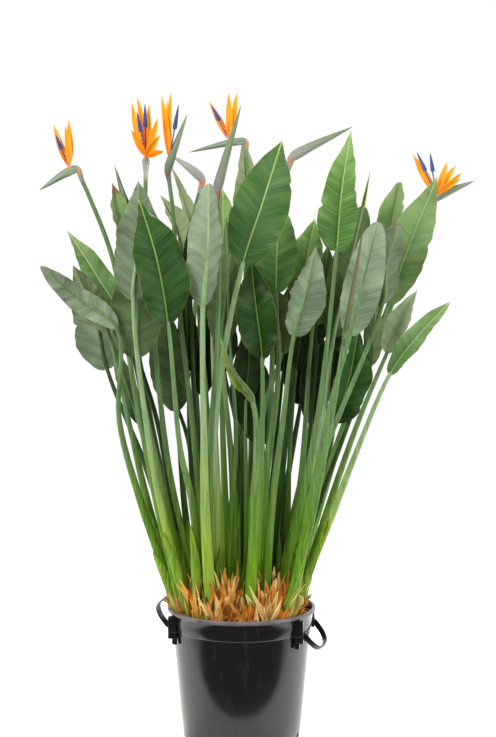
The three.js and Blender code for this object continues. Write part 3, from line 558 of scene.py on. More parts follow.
def tube(centres, side, up, wide, high, sides=12, section=None):
    """Rings round a line of centres. section, if given, holds each ring's shape as (across, up) pairs."""
    turn = np.arange(sides) * TAU / sides
    shape = np.stack([np.cos(turn), np.sin(turn)], -1) if section is None else np.asarray(section)
    if shape.ndim == 2:
        shape = np.broadcast_to(shape, (len(centres),) + shape.shape)
    wide = np.broadcast_to(wide, len(centres))[:, None, None]
    high = np.broadcast_to(high, len(centres))[:, None, None]
    return centres[:, None] + side[:, None] * shape[..., :1] * wide + up[:, None] * shape[..., 1:] * high


def turned_along(tangents):
    """A steady side and up direction for a thin line that runs any way."""
    wanted = np.where(np.abs(tangents[0][2]) > 0.8, vec(1, 0.2, 0), vec(0.1, 0.2, 1))
    return frame_at(tangents, wanted)


def shell(grid, thick):
    """Points and faces of a closed thin sheet about a grid of middle points: top, bottom and rim."""
    rows, columns = grid.shape[:2]
    normal = unit(np.cross(np.gradient(grid, axis=1), np.gradient(grid, axis=0)))
    half = normal * (np.broadcast_to(thick, (rows, columns))[..., None] / 2)
    points = np.concatenate([(grid + half).reshape(-1, 3), (grid - half).reshape(-1, 3)])
    i, j = np.meshgrid(np.arange(rows - 1), np.arange(columns - 1), indexing="ij")
    a = (i * columns + j).ravel()
    top = np.stack([a, a + 1, a + columns + 1, a + columns], -1)
    low = rows * columns
    edge = [(0, k) for k in range(columns)] + [(k, columns - 1) for k in range(1, rows)]
    edge += [(rows - 1, k) for k in range(columns - 2, -1, -1)] + [(k, 0) for k in range(rows - 2, 0, -1)]
    loop = np.array([r * columns + c for r, c in edge])
    ahead = np.roll(loop, -1)
    rim = np.stack([ahead, loop, loop + low, ahead + low], -1)
    return points, top, top[:, ::-1] + low, rim


def add_shell(heap, grid, thick, top_paint, low_paint, marks=None):
    points, top, low, rim = shell(grid, thick)
    if marks is not None:
        marks = np.concatenate([marks.reshape(-1, 4)] * 2)
    heap.add(points, [top, low, rim], [top_paint, low_paint, low_paint], marks)


def sheet_marks(u, v, offset=0.0):
    """The maps of a sheet whose rows lie at u and whose columns lie at v."""
    shape = (len(u), len(v))
    across = np.broadcast_to((v + 1) / 2 + offset, shape)
    return np.stack([across, np.broadcast_to(u[:, None], shape)] * 2, -1)


def add_clasp(heap, middles, side, up, h, opening, size, thick, paint):
    """A dry sheet that clasps a stem and ends in a point. opening is half its turn round the stem at h."""
    spread = np.linspace(-1, 1, CLASP_COLUMNS)[None] * opening[:, None]
    turn = rng.uniform(0, TAU) + spread
    grid = middles[:, None] + side[:, None] * (np.cos(turn) * size[:, None])[..., None]
    grid = grid + up[:, None] * (np.sin(turn) * size[:, None])[..., None]
    marks = np.stack([spread / 6 + 0.5, h[:, None] * np.ones_like(spread), spread, spread], -1)
    add_shell(heap, grid, thick, paint, paint, marks)


def radius_along(radii, u, radius):
    return radius * np.interp(u, np.linspace(0, 1, len(radii)), radii)


def stem_foot(spec):
    """The straight foot of a stem: where it starts in the soil and where its curve begins."""
    ground = vec(*spec["root"], STEM_LEVEL)
    aim = vec(*spec["via"][0]) - ground
    return [ground + aim * (z - STEM_LEVEL) / aim[2] for z in (STEM_FOOT, STRAIGHT_TOP)]


def wall_radius(z):
    return BASE_RADIUS + (NECK_RADIUS - BASE_RADIUS) * z / LIP_FOOT


def soil_top(r):
    return SOIL_CROWN + (SOIL_EDGE - SOIL_CROWN) * r / (wall_radius(SOIL_EDGE) - POT_WALL)


# Paints


def tone(code):
    """Linear colour of a six-digit colour code."""
    parts = [int(code[i : i + 2], 16) / 255 for i in (1, 3, 5)]
    return [c / 12.92 if c <= 0.04045 else ((c + 0.055) / 1.055) ** 2.4 for c in parts] + [1.0]


class Paint:
    """A material of procedural nodes, built by short calls."""

    def __init__(self, name, roughness=0.5, specular=0.5):
        self.material = bpy.data.materials.new(name)
        self.material.use_nodes = True
        self.tree = self.material.node_tree
        self.shader = self.tree.nodes["Principled BSDF"]
        self.shader.inputs["Roughness"].default_value = roughness
        self.shader.inputs["Specular IOR Level"].default_value = specular

    def node(self, kind, inputs, **settings):
        made = self.tree.nodes.new(kind)
        for key, value in settings.items():
            setattr(made, key, value)
        for key, value in inputs.items():
            self.feed(made.inputs[key], value)
        return made

    def feed(self, socket, value):
        if isinstance(value, bpy.types.NodeSocket):
            self.tree.links.new(value, socket)
        else:
            socket.default_value = value

    def math(self, operation, a, b=0.0):
        return self.node("ShaderNodeMath", {0: a, 1: b}, operation=operation).outputs[0]

    def plus(self, a, b):
        return self.math("ADD", a, b)

    def times(self, a, b):
        return self.math("MULTIPLY", a, b)

    def swing(self, value, size):
        """The value's distance above a half, times a size."""
        return self.times(self.math("SUBTRACT", value, 0.5), size)

    def off_middle(self, value):
        """How far the value is from a half, either way."""
        return self.math("ABSOLUTE", self.math("SUBTRACT", value, 0.5))

    def band(self, value, low, high):
        """0 below low, 1 above high, or the other way round where low is above high."""
        inputs = {"Value": value, "From Min": min(low, high), "From Max": max(low, high)}
        inputs.update({"To Min": 0.0 if low < high else 1.0, "To Max": 1.0 if low < high else 0.0})
        return self.node("ShaderNodeMapRange", inputs, interpolation_type="SMOOTHSTEP").outputs["Result"]

    def mix(self, factor, a, b):
        """From colour a to colour b, each a colour code or a node's output."""
        a, b = (tone(colour) if isinstance(colour, str) else colour for colour in (a, b))
        return self.node("ShaderNodeMix", {0: factor, 6: a, 7: b}, data_type="RGBA").outputs[2]

    def laid(self, body, over, value, low, high, strength=1.0):
        """The body, with another colour over it as the value passes from low to high."""
        amount = self.band(value, low, high)
        if strength < 1.0:
            amount = self.times(amount, strength)
        return self.mix(amount, body, over)

    def noise(self, vector, scale, detail=3.0, distortion=0.0):
        inputs = {"Vector": vector, "Scale": scale, "Detail": detail, "Distortion": distortion}
        return self.node("ShaderNodeTexNoise", inputs).outputs["Fac"]

    def streaks(self, x, y, x_scale, y_scale, detail=2.0, distortion=0.0):
        """Noise over a map, drawn out along the axis with the smaller scale."""
        vector = self.joined(self.times(x, x_scale), self.times(y, y_scale))
        return self.noise(vector, 1.0, detail, distortion)

    def cells(self, vector, scale):
        return self.node("ShaderNodeTexVoronoi", {"Vector": vector, "Scale": scale}).outputs["Color"]

    def map(self, name):
        uv = self.node("ShaderNodeUVMap", {}, uv_map=name).outputs[0]
        parts = self.node("ShaderNodeSeparateXYZ", {0: uv}).outputs
        return parts[0], parts[1]

    def place(self):
        return self.node("ShaderNodeTexCoord", {}).outputs["Object"]

    def height(self):
        return self.node("ShaderNodeSeparateXYZ", {0: self.place()}).outputs[2]

    def joined(self, x, y, z=0.0):
        return self.node("ShaderNodeCombineXYZ", {0: x, 1: y, 2: z}).outputs[0]

    def stretched(self, *scales):
        inputs = {0: self.place(), 1: scales}
        return self.node("ShaderNodeVectorMath", inputs, operation="MULTIPLY").outputs[0]

    def colour(self, value):
        self.feed(self.shader.inputs["Base Color"], value)

    def rough(self, value, low, high):
        ranged = self.node("ShaderNodeMapRange", {"Value": value, "To Min": low, "To Max": high})
        self.feed(self.shader.inputs["Roughness"], ranged.outputs["Result"])

    def bump(self, height, distance, strength=1.0):
        inputs = {"Height": height, "Distance": distance, "Strength": strength}
        self.feed(self.shader.inputs["Normal"], self.node("ShaderNodeBump", inputs).outputs["Normal"])


LEAF_SPECULAR = 0.22
VEIN_GAP = 9.0  # millimetres between a leaf's side veins
MAP_UNIT = 100  # millimetres to one unit of a leaf's map of veins
MARGIN_TONE = "#9a8a44"
DRY_TONE = "#8a6238"


def blade_paint(name, deep, light, rib, gloss, streaks, dry):
    """One face of a leaf: streaks along its side veins, a midrib, a thin margin and a dry tip."""
    paint = Paint(name, gloss, LEAF_SPECULAR)
    across, along = paint.map("leaf")
    vein, reach = paint.map("veins")
    broad = paint.streaks(vein, reach, 5.0, 0.8, 2.0, 0.3)
    fine = paint.streaks(vein, reach, 30.0, 1.5, 1.0)
    patch = paint.noise(paint.place(), 7.0)
    amount = paint.plus(paint.times(broad, 0.45), paint.times(patch, 0.55))
    body = paint.laid(deep, light, paint.plus(amount, paint.swing(along, 0.16)), 0.36, 0.64)
    # Side veins: thin lines about VEIN_GAP apart
    spread = paint.plus(paint.times(vein, MAP_UNIT / VEIN_GAP), paint.times(fine, 0.5))
    line = paint.band(paint.off_middle(paint.math("FRACT", spread)), 0.36, 0.5)
    body = paint.mix(paint.times(line, streaks), body, light)
    body = paint.laid(body, light, fine, 0.5, 0.7, 0.3)
    body = paint.laid(body, MARGIN_TONE, paint.off_middle(across), 0.487, 0.497, 0.5)
    ragged = paint.plus(along, paint.swing(patch, 1.2 * dry))
    body = paint.laid(body, DRY_TONE, ragged, 1 - dry, 1 - dry * 0.55)
    body = paint.laid(body, rib, reach, 0.026, 0.014)
    paint.colour(paint.laid(body, "#5d4a26", paint.noise(paint.place(), 160.0, 2.0), 0.7, 0.76, 0.4))
    paint.rough(fine, gloss - 0.04, gloss + 0.12)
    paint.bump(paint.plus(line, paint.times(broad, 0.8)), 0.0009, 0.55)
    return paint.material


def plain_paint(name, low, high, scale, roughness, grain=0.0, stretch=(1, 1, 1), specular=0.5):
    """A surface mottled between two tones."""
    paint = Paint(name, roughness, specular)
    noise = paint.noise(paint.stretched(*stretch), scale, 4.0)
    paint.colour(paint.laid(low, high, noise, 0.35, 0.65))
    if grain:
        paint.bump(noise, grain)
    return paint.material


def petiole_paint(name, low_tones, high_tones):
    """Brown in the husks, yellow-green above them and grey-green higher up, with fine lengthwise streaks."""
    paint = Paint(name, 0.46, LEAF_SPECULAR)
    streak = paint.noise(paint.stretched(1, 1, 0.03), 210.0, 1.0)
    patch = paint.noise(paint.place(), 14.0)
    low, high = (paint.laid(*tones, streak, 0.1, 0.9) for tones in (low_tones, high_tones))
    lifted = paint.plus(paint.height(), paint.swing(patch, 0.3))
    body = paint.laid(low, high, lifted, 0.42, 0.8)
    body = paint.laid(body, "#94682c", lifted, 0.33, 0.28)
    paint.colour(paint.laid(body, "#4d4a1c", paint.noise(paint.place(), 190.0, 2.0), 0.64, 0.72, 0.5))
    paint.bump(streak, 0.0005, 0.2)
    return paint.material


def spathe_paint():
    """Grey-green beak, pink at its neck, with a red lip along its opening and a faint red keel."""
    paint = Paint("spathe", 0.5, 0.25)
    around, along = paint.map("leaf")
    edge = paint.off_middle(around)
    streak = paint.streaks(around, along, 30.0, 3.0)
    body = paint.laid("#64795f", "#8c9d86", streak, 0.35, 0.65)
    neck = paint.times(paint.band(along, 0.04, 0.2), paint.band(along, 0.42, 0.26))
    body = paint.mix(paint.times(neck, 0.55), body, "#d89070")
    body = paint.laid(body, "#8a4a38", edge, 0.05, 0.0, 0.6)
    body = paint.laid(body, "#b0503a", paint.plus(edge, paint.swing(streak, 0.06)), 0.42, 0.48)
    paint.colour(paint.laid(body, "#a06040", along, 0.9, 1.0))
    paint.bump(streak, 0.0008, 0.6)
    return paint.material


def bud_paint(name, neck, middle, end, edging="#a8604a"):
    """Closed beak in three tones from its neck to its end, with an edging."""
    paint = Paint(name, 0.5, 0.25)
    around, along = paint.map("leaf")
    streak = paint.streaks(around, along, 24.0, 3.0)
    body = paint.laid(middle, end, along, 0.5, 1.0)
    tinted = paint.times(paint.band(along, 0.04, 0.16), paint.band(along, 0.4, 0.24))
    body = paint.mix(tinted, body, neck)
    body = paint.laid(body, "#a9aca0", streak, 0.4, 0.7, 0.3)
    paint.colour(paint.laid(body, edging, paint.off_middle(around), 0.43, 0.48, 0.7))
    paint.bump(streak, 0.0008, 0.6)
    return paint.material


def sepal_paint():
    """Deep orange at the seat to bright orange at the tips, with fine lengthwise veins."""
    paint = Paint("sepal", 0.5, 0.25)
    across, along = paint.map("leaf")
    body = paint.laid("#ff8400", "#ffaa10", along, 0.0, 0.7)
    body = paint.laid(body, "#ffc02e", paint.streaks(across, along, 14.0, 1.4), 0.45, 0.7, 0.5)
    paint.colour(paint.laid(body, "#ffc45a", along, 0.85, 1.0))
    return paint.material


def petal_paint():
    """Streaked blue, paler at the seat."""
    paint = Paint("petal", 0.45, 0.3)
    across, along = paint.map("leaf")
    body = paint.laid("#2b366c", "#56669c", paint.streaks(across, along, 9.0, 2.0), 0.35, 0.65)
    paint.colour(paint.laid(body, "#b9b4cf", along, 0.22, 0.0))
    return paint.material


def husk_paint(name, tint, shade):
    """Papery dry sheath: lengthwise fibres and darker patches."""
    paint = Paint(name, 0.7, 0.3)
    across, along = paint.map("leaf")
    patch = paint.noise(paint.place(), 26.0)
    fibre = paint.noise(paint.joined(paint.times(across, 22.0), paint.times(along, 1.2), patch), 1.0)
    body = paint.laid(shade, tint, fibre, 0.36, 0.64)
    paint.colour(paint.laid(body, "#ba701c", patch, 0.54, 0.68, 0.6))
    paint.bump(fibre, 0.0012, 0.8)
    return paint.material


def pot_paint():
    """Glossy near-black plastic, dusty at the lip and on the band's ledge, lightly scuffed."""
    paint = Paint("pot_plastic", 0.16)
    height = paint.height()
    lip_foot, band_foot = LIP_FOOT * MM, BAND_FOOT * MM
    cloud = paint.noise(paint.place(), 22.0, 5.0)
    scuff = paint.noise(paint.stretched(1, 1, 0.18), 60.0, 4.0)
    lip = paint.times(paint.band(height, lip_foot + 0.0005, lip_foot + 0.0035), paint.band(cloud, 0.2, 0.6))
    ledge = paint.times(
        paint.band(height, band_foot - 0.0005, band_foot + 0.0012),
        paint.band(height, band_foot + 0.004, band_foot + 0.0018),
    )
    foot = paint.times(paint.band(height, 0.03, 0.0), paint.band(cloud, 0.42, 0.6))
    body = paint.laid("#1a1b1a", "#373633", scuff, 0.56, 0.7, 0.22)
    body = paint.mix(paint.times(ledge, 0.2), body, "#6b625c")
    body = paint.mix(foot, body, "#5f564c")
    paint.colour(paint.mix(paint.times(lip, 0.8), body, "#7a7072"))
    paint.rough(paint.plus(paint.times(lip, 0.55), paint.times(cloud, 0.35)), 0.08, 0.6)
    paint.bump(cloud, 0.0004, 0.35)
    return paint.material


def litter_paint():
    """Bark chips in two browns, with painted shade in the gaps between them."""
    paint = Paint("litter", 0.9, 0.2)
    cloud = paint.noise(paint.place(), 60.0, 5.0)
    body = paint.mix(paint.cells(paint.place(), 260.0), "#5a2e14", "#a8622c")
    paint.colour(paint.laid(body, "#2a1a10", cloud, 0.4, 0.6))
    paint.bump(cloud, 0.003)
    return paint.material


# A petiole's dark and light tone at its foot, then higher up
PETIOLE_TONES = {
    "petiole_pale": (("#6a8e20", "#a2ba44"), ("#71905c", "#9db486")),
    "petiole_mid": (("#456c0e", "#76a022"), ("#4e6f40", "#74925c")),
    # The darker tones next are painted shade, for stems at the back of the clump
    "petiole_deep": (("#1f3c08", "#3d6412"), ("#263f1e", "#456034")),
}
# A closed beak's neck, middle and end, and its edging where that isn't red
BUD_TONES = {
    "bud": ("#b07a60", "#8a8f84", "#6c8058"),
    "bud_grey": ("#e08a60", "#a3a59f", "#9aa096"),
    "bud_mauve": ("#8a5238", "#77716e", "#5f7d4a"),
    "spathe_dark": ("#6e4a3a", "#5c7058", "#7b8f6c"),
    "bud_green": ("#5f7c46", "#3f5a2a", "#66583a", "#59492e"),
}
# A husk's light and dark tone
HUSK_TONES = {
    "husk_tan": ("#f4bc58", "#c98426"),
    "husk_pale": ("#fde6a8", "#e8b65c"),
    "husk_orange": ("#ea9226", "#b26212"),
    "husk_brown": ("#a8601a", "#68380c"),
}
# Plain surfaces: two tones, scale, roughness, depth of the grain, stretch and specular
PLAIN_LOOKS = {
    "sheath": ("#557a14", "#84a434", 240.0, 0.5, 0.0, (1, 1, 0.025), 0.22),
    "bract": ("#5d5238", "#8a7a50", 90.0, 0.7, 0.001, (1, 1, 0.1)),
    "stump": ("#7c8a24", "#b09a48", 40.0, 0.6),
    "straw": ("#c9a566", "#ead6a2", 80.0, 0.6),
    "cut_top": ("#d8c496", "#f0e4c4", 300.0, 0.7, 0.0006),
    "soil": ("#1e1510", "#3d2b1e", 160.0, 0.95, 0.003, (1, 1, 1), 0.2),
    "handle_plastic": ("#0e0f10", "#1d1d1c", 40.0, 0.36, 0.0003),
}
PAINTS = {
    "spathe": spathe_paint(), "sepal": sepal_paint(), "petal": petal_paint(), "litter": litter_paint(),
    "pot_plastic": pot_paint(),
}
for make_paint, looks in (
    (petiole_paint, PETIOLE_TONES), (bud_paint, BUD_TONES), (husk_paint, HUSK_TONES),
    (plain_paint, PLAIN_LOOKS),
):
    PAINTS.update({name: make_paint(name, *look) for name, look in looks.items()})

# A leaf's two faces: deep tone, light tone, midrib, gloss and strength of the streaks
UPPER_LOOKS = {
    "dark": ("#1b3811", "#32581d", "#86a04a", 0.42, 0.35),
    "mid": ("#325525", "#4e7036", "#9db363", 0.46, 0.4),
    "fresh": ("#557a3e", "#7f9c60", "#b0c08a", 0.5, 0.5),
    "main": ("#355a26", "#587c3c", "#a3b86c", 0.46, 0.4),
    # A lighter copy of the upper face: painted light where light shines through a leaf from behind
    "bright": ("#4c7634", "#80a35a", "#b4ca84", 0.48, 0.45),
    # A paler copy of the upper face: painted light, for a leaf in the shade of others
    "painted_lit": ("#80986c", "#aabd92", "#bccaa0", 0.55, 0.45),
    "shade": ("#152b0d", "#284417", "#5c7437", 0.5, 0.3),
    "olive": ("#46552f", "#66744a", "#98a26c", 0.5, 0.4),
    "lime": ("#6b8a2c", "#93a850", "#bcc47a", 0.5, 0.4),
}
UNDER_LOOKS = {
    "glaucous": ("#52644a", "#788a6c", "#93a276", 0.6, 0.45),
    "silver": ("#687c60", "#92a488", "#a8b68c", 0.56, 0.5),
    # A darker copy of the underside: painted shade, for leaves in the shade of others
    "painted_shade": ("#3f5430", "#5d7446", "#869a5c", 0.6, 0.4),
    "pale": ("#66784a", "#8f9d74", "#a9b582", 0.58, 0.5),
}


def leaf_face(kind, looks, look, dry):
    """The paint of one face of a leaf, made once for each look."""
    name = f"{kind}_{look}_{round(dry * 1000)}"
    if name not in PAINTS:
        PAINTS[name] = blade_paint(name, *looks[look], dry)
    return name


# Leaves

BLADE_ROWS = 58
BLADE_HALF_COLUMNS = 9
BLADE_FOOT = (0.006, 0.016, 0.03)  # closer rows where the blade leaves its petiole
BLADE_THICK = (1.1, 0.5)  # at the midrib, and how much less at the margin
PETIOLE_RINGS = 22
PETIOLE_SIDES = 16
KEEL_TIP = 0.45  # radius
FOOT_FLARE = 0.42  # how much thicker a petiole's sheathing foot is
FLARE_HEIGHT = 230.0
SHADED_FROM = 10  # how far back the stems start that are painted a darker green as shade
CLASP_COLUMNS = 13
SHEATH_ROWS = 16
SHEATH_HEIGHT = (70, 230)  # least and greatest, above the litter
GROOVE = 0.34  # depth of the groove along a petiole, as a part of its radius
MOST_NICKS = 1  # in each half of a blade
VEIN_SLANT = 0.55
RIPPLES = 8.3


def grooved_section(sides):
    turn = np.arange(sides) * TAU / sides
    apart = np.abs((turn - TAU / 4 + math.pi) % TAU - math.pi)
    size = 1 - GROOVE * np.exp(-((apart / 0.42) ** 2))
    return np.stack([np.cos(turn) * size, np.sin(turn) * size], -1)


def blade_half(u, leaf):
    peak, taper = leaf.get("peak", 0.78), leaf.get("taper", 0.47)
    shape = np.maximum(np.sin(math.pi * u**peak), 0) ** (0.58 + taper * u)
    return np.maximum(leaf["wide"] / 2 * shape, TIP_HALF * (1 - 0.6 * u))


def nicks(u, count):
    """How much of a half blade's width is left where its margin is torn."""
    left = np.ones_like(u)
    for _ in range(count):
        place = rng.uniform(0.2, 0.85)
        deep = rng.uniform(0.05, 0.2)
        long = rng.uniform(0.012, 0.03)
        left -= deep * np.clip(1 - np.abs(u - place) / long, 0, 1)
    return np.clip(left + rng.normal(0, 0.003, len(u)), 0.45, 1.0)


def stem_paint(spec, number):
    """Stems at the back of the clump are painted a darker green as shade, and each one differs a little."""
    if spec["root"][1] > SHADED_FROM:
        return ("petiole_deep", "petiole_deep", "petiole_mid")[number % 3]
    return ("petiole_mid", "petiole_pale", "petiole_mid")[number % 3]


def leaf_line(leaf):
    """The line that a leaf follows from the soil to its tip, with base_at where its blade starts."""
    foot, top = stem_foot(leaf)
    face = math.radians(leaf["face"])
    wanted = unit(vec(math.sin(face), -math.cos(face), 0.25))
    base, tip = vec(*leaf["base"]), vec(*leaf["tip"])
    chord_up = frame_at(unit(tip - base), wanted)[1]
    middle = (base + tip) / 2 + chord_up * leaf["arch"]
    points = [top, *leaf["via"], base, middle, tip]
    return SimpleNamespace(
        foot=foot, top=top, curve=Spline(points), wanted=wanted, base_height=base[2],
        base_at=(len(points) - 3) / (len(points) - 1), thick=leaf.get("thick", STEM_RADIUS),
    )


def flare(height):
    """How much thicker than its plain radius a stem is at a height above the soil."""
    return 1 + FOOT_FLARE * np.exp(-height / FLARE_HEIGHT)


def add_petiole(heap, line, paint):
    """The petiole, then the keel under the blade, in one tapering rod."""
    stalk_u = np.linspace(0, 1, PETIOLE_RINGS)
    keel_u = np.linspace(0.012, 0.985, BLADE_ROWS // 2)
    t = np.concatenate([stalk_u * line.base_at, line.base_at + (1 - line.base_at) * keel_u])
    centres = np.vstack([line.foot, line.curve.point(t)])
    tangents = np.vstack([unit(line.top - line.foot), line.curve.tangent(t)])
    side, up = frame_at(tangents, line.wanted)
    keel = KEEL_TIP + (PETIOLE_RADII[-1] * line.thick - KEEL_TIP) * (1 - keel_u) ** 0.85
    radii = np.concatenate([[line.thick], radius_along(PETIOLE_RADII, stalk_u, line.thick), keel])
    radii *= flare(np.maximum(centres[:, 2] - STEM_LEVEL, 0))
    sunk = np.concatenate([np.zeros(PETIOLE_RINGS + 1), smooth(keel_u / 0.05)])
    centres = centres - up * (sunk * (radii + 0.5))[:, None]
    rod = tube(centres, side, up, radii * 1.1, radii, PETIOLE_SIDES, grooved_section(PETIOLE_SIDES))
    heap.add(rod, tube_faces(len(rod), PETIOLE_SIDES), paint)


def add_sheath(heap, line):
    """The sheath that clasps the petiole's foot and ends in a point."""
    h = np.linspace(0, 1, SHEATH_ROWS)
    tall = rng.uniform(*SHEATH_HEIGHT)
    start = line.foot + (line.top - line.foot) * 0.3
    t = h * line.base_at * min(1, tall / max(line.base_height - STRAIGHT_TOP, 1))
    middles = np.where((h < 0.1)[:, None], start, line.curve.point(t))
    side, up = frame_at(line.curve.tangent(t), line.wanted)
    opening = 2.0 * (1 - h**1.6) ** 0.9 + 0.08
    stem = radius_along(PETIOLE_RADII, t / line.base_at, line.thick) * flare(tall * h)
    size = stem * (1.12 + 0.5 * h * (1 - h)) + 0.6 + 2.2 * h**2
    add_clasp(heap, middles, side, up, h, opening, size, 0.9, "sheath")


def add_blade(heap, leaf, line, number, upper, under):
    """The blade: a thin folded sheet with waved margins."""
    u = np.concatenate([BLADE_FOOT, np.linspace(0.05, 1, BLADE_ROWS)])
    t = line.base_at + (1 - line.base_at) * u
    centres = line.curve.point(t)
    side, up = frame_at(line.curve.tangent(t), line.wanted)
    v = np.linspace(-1, 1, 2 * BLADE_HALF_COLUMNS + 1)
    v = np.sign(v) * np.abs(v) ** 1.2
    hand, out = np.where(v < 0, -1, 1), np.abs(v)
    fold = math.radians(leaf["fold"])
    half = blade_half(u, leaf)
    torn = [half * nicks(u, rng.integers(0, MOST_NICKS + 1)) for _ in range(2)]
    halves = np.where(hand[None] < 0, torn[0][:, None], torn[1][:, None])
    along = side[:, None] * (hand * math.cos(fold))[None, :, None] + up[:, None] * math.sin(fold)
    over = up[:, None] * math.cos(fold) - side[:, None] * (hand * math.sin(fold))[None, :, None]
    wave = min(9, leaf["wide"] * 0.085) * np.minimum(1, half / 20)[:, None]
    phase = number * 1.7 + np.where(hand < 0, 0, 1.9)[None]
    lift = wave * np.sin(TAU * LEAF_WAVES * u[:, None] + phase) * out**2
    ripple = 0.2 * wave * np.sin(TAU * RIPPLES * u[:, None] + 2.1 * phase) * out**3
    camber = 0.16 * half[:, None] * out * (1 - out) * math.cos(fold)
    groove = (1.6 * (1 - u) + 0.3)[:, None] * np.exp(-((out * halves / 3.0) ** 2))
    grid = (
        centres[:, None]
        + along * (halves * out)[..., None]
        + over * (camber + ripple)[..., None]
        + up[:, None] * (lift - groove)[..., None]
    )
    length = np.concatenate([[0], np.cumsum(np.linalg.norm(np.diff(centres, axis=0), axis=1))])
    reach = halves * out / MAP_UNIT
    marks = np.stack([
        np.broadcast_to((v + 1) / 2, reach.shape),
        np.broadcast_to(u[:, None], reach.shape),
        length[:, None] / MAP_UNIT - VEIN_SLANT * reach + 0.6 * hand + number,
        reach,
    ], -1)
    thickness = BLADE_THICK[0] - BLADE_THICK[1] * np.broadcast_to(out**2, reach.shape)
    add_shell(heap, grid, thickness, upper, under, marks)


def leaf_piece(name, leaf, number):
    """A whole leaf. One that is only in the scene is in the shade and has no sheath."""
    whole = name in LEAVES
    line = leaf_line(leaf)
    dry = DRY_TIPS.get(name, LEAST_DRY)
    # A leaf that is only in the scene takes the shade looks: painted shade on both faces
    upper = leaf_face("upper", UPPER_LOOKS, UPPER_TONES.get(name, "mid" if whole else "shade"), dry)
    under = leaf_face("under", UNDER_LOOKS, UNDER_TONES.get(name, "glaucous" if whole else "painted_shade"), dry)
    heap = Heap()
    add_petiole(heap, line, stem_paint(leaf, number))
    if whole:
        add_sheath(heap, line)
    add_blade(heap, leaf, line, number, upper, under)
    heap.build(f"{name}_veined", "root", [name] if whole else [])


# Flowers

STALK_RINGS = 26
STALK_SIDES = 16
THROAT = 26  # how far before the head the spathe starts to swell
SWELL = (24, 5)  # where it is thickest, along the beak and up from it
SPATHE_RINGS = 40
SPATHE_SIDES = 24
SPATHE_START = -0.12  # where it grows out of the stalk, in route spans
# Along the spathe in route spans: half width and half height as parts of its girth
SPATHE_PLACES = (0, 0.5, 1, 1.5, 2, 2.4, 2.75, 3)
SPATHE_WIDE = (0.56, 0.6, 0.7, 0.8, 0.76, 0.58, 0.31, 0.06)
SPATHE_HIGH = (0.56, 0.62, 0.84, 1.04, 1.02, 0.78, 0.41, 0.06)

SEAT = 15  # how far along the spathe the flowers stand
# Where a dry bract clasps a stalk, as parts of its length
BRACTS = {"bud_centre": (0.72,), "bloom_right": (0.62,)}
BRACT_LENGTH = 46.0
BRACT_ROWS = 12
SPATHE_PAINTS = {"bloom_back_left": "spathe_dark"}
BUD_PAINTS = {"bud_back_left": "bud_grey", "bud_centre": "bud_mauve", "bud_front_right": "bud_green"}

SEPAL_ROWS = 20
SEPAL_COLUMNS = 9
SEPAL_HALF = 9.2
ARROW_ROWS = 22
ARROW_COLUMNS = 7
# Along an arrow petal: its half width, which steps out at the barbs
ARROW_PLACES = (0, 0.3, 0.5, 0.545, 0.56, 0.6, 0.7, 0.8, 0.9, 1)
ARROW_HALVES = (1.3, 1.3, 1.5, 2.0, 4.6, 5.2, 4.6, 3.5, 2.1, 0.5)
BALL_RADIUS = 5.4  # of the swelling that the sepals stand on
BALL_RINGS = 9
BALL_SIDES = 16


def bloom_lines(spec):
    head, beak = vec(*spec["head"]), vec(*spec["beak"])
    rise = unit(head - vec(*spec["via"][-1]))
    reach = unit(beak - head)
    return head, beak, rise, reach, unit(np.cross(rise, reach))


def beak_section(sharp):
    """A drop-shaped section with its slit at the top; sharp goes from 0, round, to 1."""
    turn = np.arange(SPATHE_SIDES) * TAU / SPATHE_SIDES
    width = np.sin(turn) * np.abs(np.sin(turn / 2)) ** (0.8 * sharp) * (1 + 0.16 * sharp)
    slit = 0.16 * sharp * np.exp(-((np.minimum(turn, TAU - turn) / 0.16) ** 2))
    return np.stack([width, -(np.cos(turn) - slit)], -1)


def add_spathe(heap, curve, square, throat_at, span, girth, paint):
    """The beak, which grows smoothly out of its stalk."""
    w = np.linspace(SPATHE_START, 3, SPATHE_RINGS)
    t = throat_at + w * span
    side, up = square(curve.tangent(t))
    stem = STALK_RADII[-1] * STEM_RADIUS + 0.2
    join = 1 - smooth((w - SPATHE_START) / 0.5)
    sizes = []
    for parts in (SPATHE_WIDE, SPATHE_HIGH):
        size = np.maximum(np.interp(w, SPATHE_PLACES, np.array(parts) * girth), 0.4)
        sizes.append(size + (stem - size) * join)
    section = np.stack([beak_section(s) for s in smooth((w - 0.6) / 0.9)])
    rings = tube(curve.point(t), side, up, *sizes, SPATHE_SIDES, section)
    around = (np.arange(SPATHE_SIDES) / SPATHE_SIDES)[None] * np.ones((len(w), 1))
    marks = np.stack([around, np.clip(w / 3, 0, 1)[:, None] * np.ones_like(around), around, around], -1)
    heap.add(rings, tube_faces(len(rings), SPATHE_SIDES), paint, marks)


def add_bract(heap, curve, start, square, radius):
    """A dry bract that clasps a stalk and ends in a free point."""
    h = np.linspace(0, 1, BRACT_ROWS)
    step = 0.02
    reach = BRACT_LENGTH / np.linalg.norm(curve.point(min(start + step, 1)) - curve.point(start)) * step
    t = np.clip(start + h * reach, 0, 1)
    opening = 2.9 * (1 - h) ** 0.8 + 0.12
    size = radius * (1.02 + 0.05 * (1 - h)) + 0.9 + 1.8 * h**3
    add_clasp(heap, curve.point(t), *square(curve.tangent(t)), h, opening, size, 0.7, "bract")


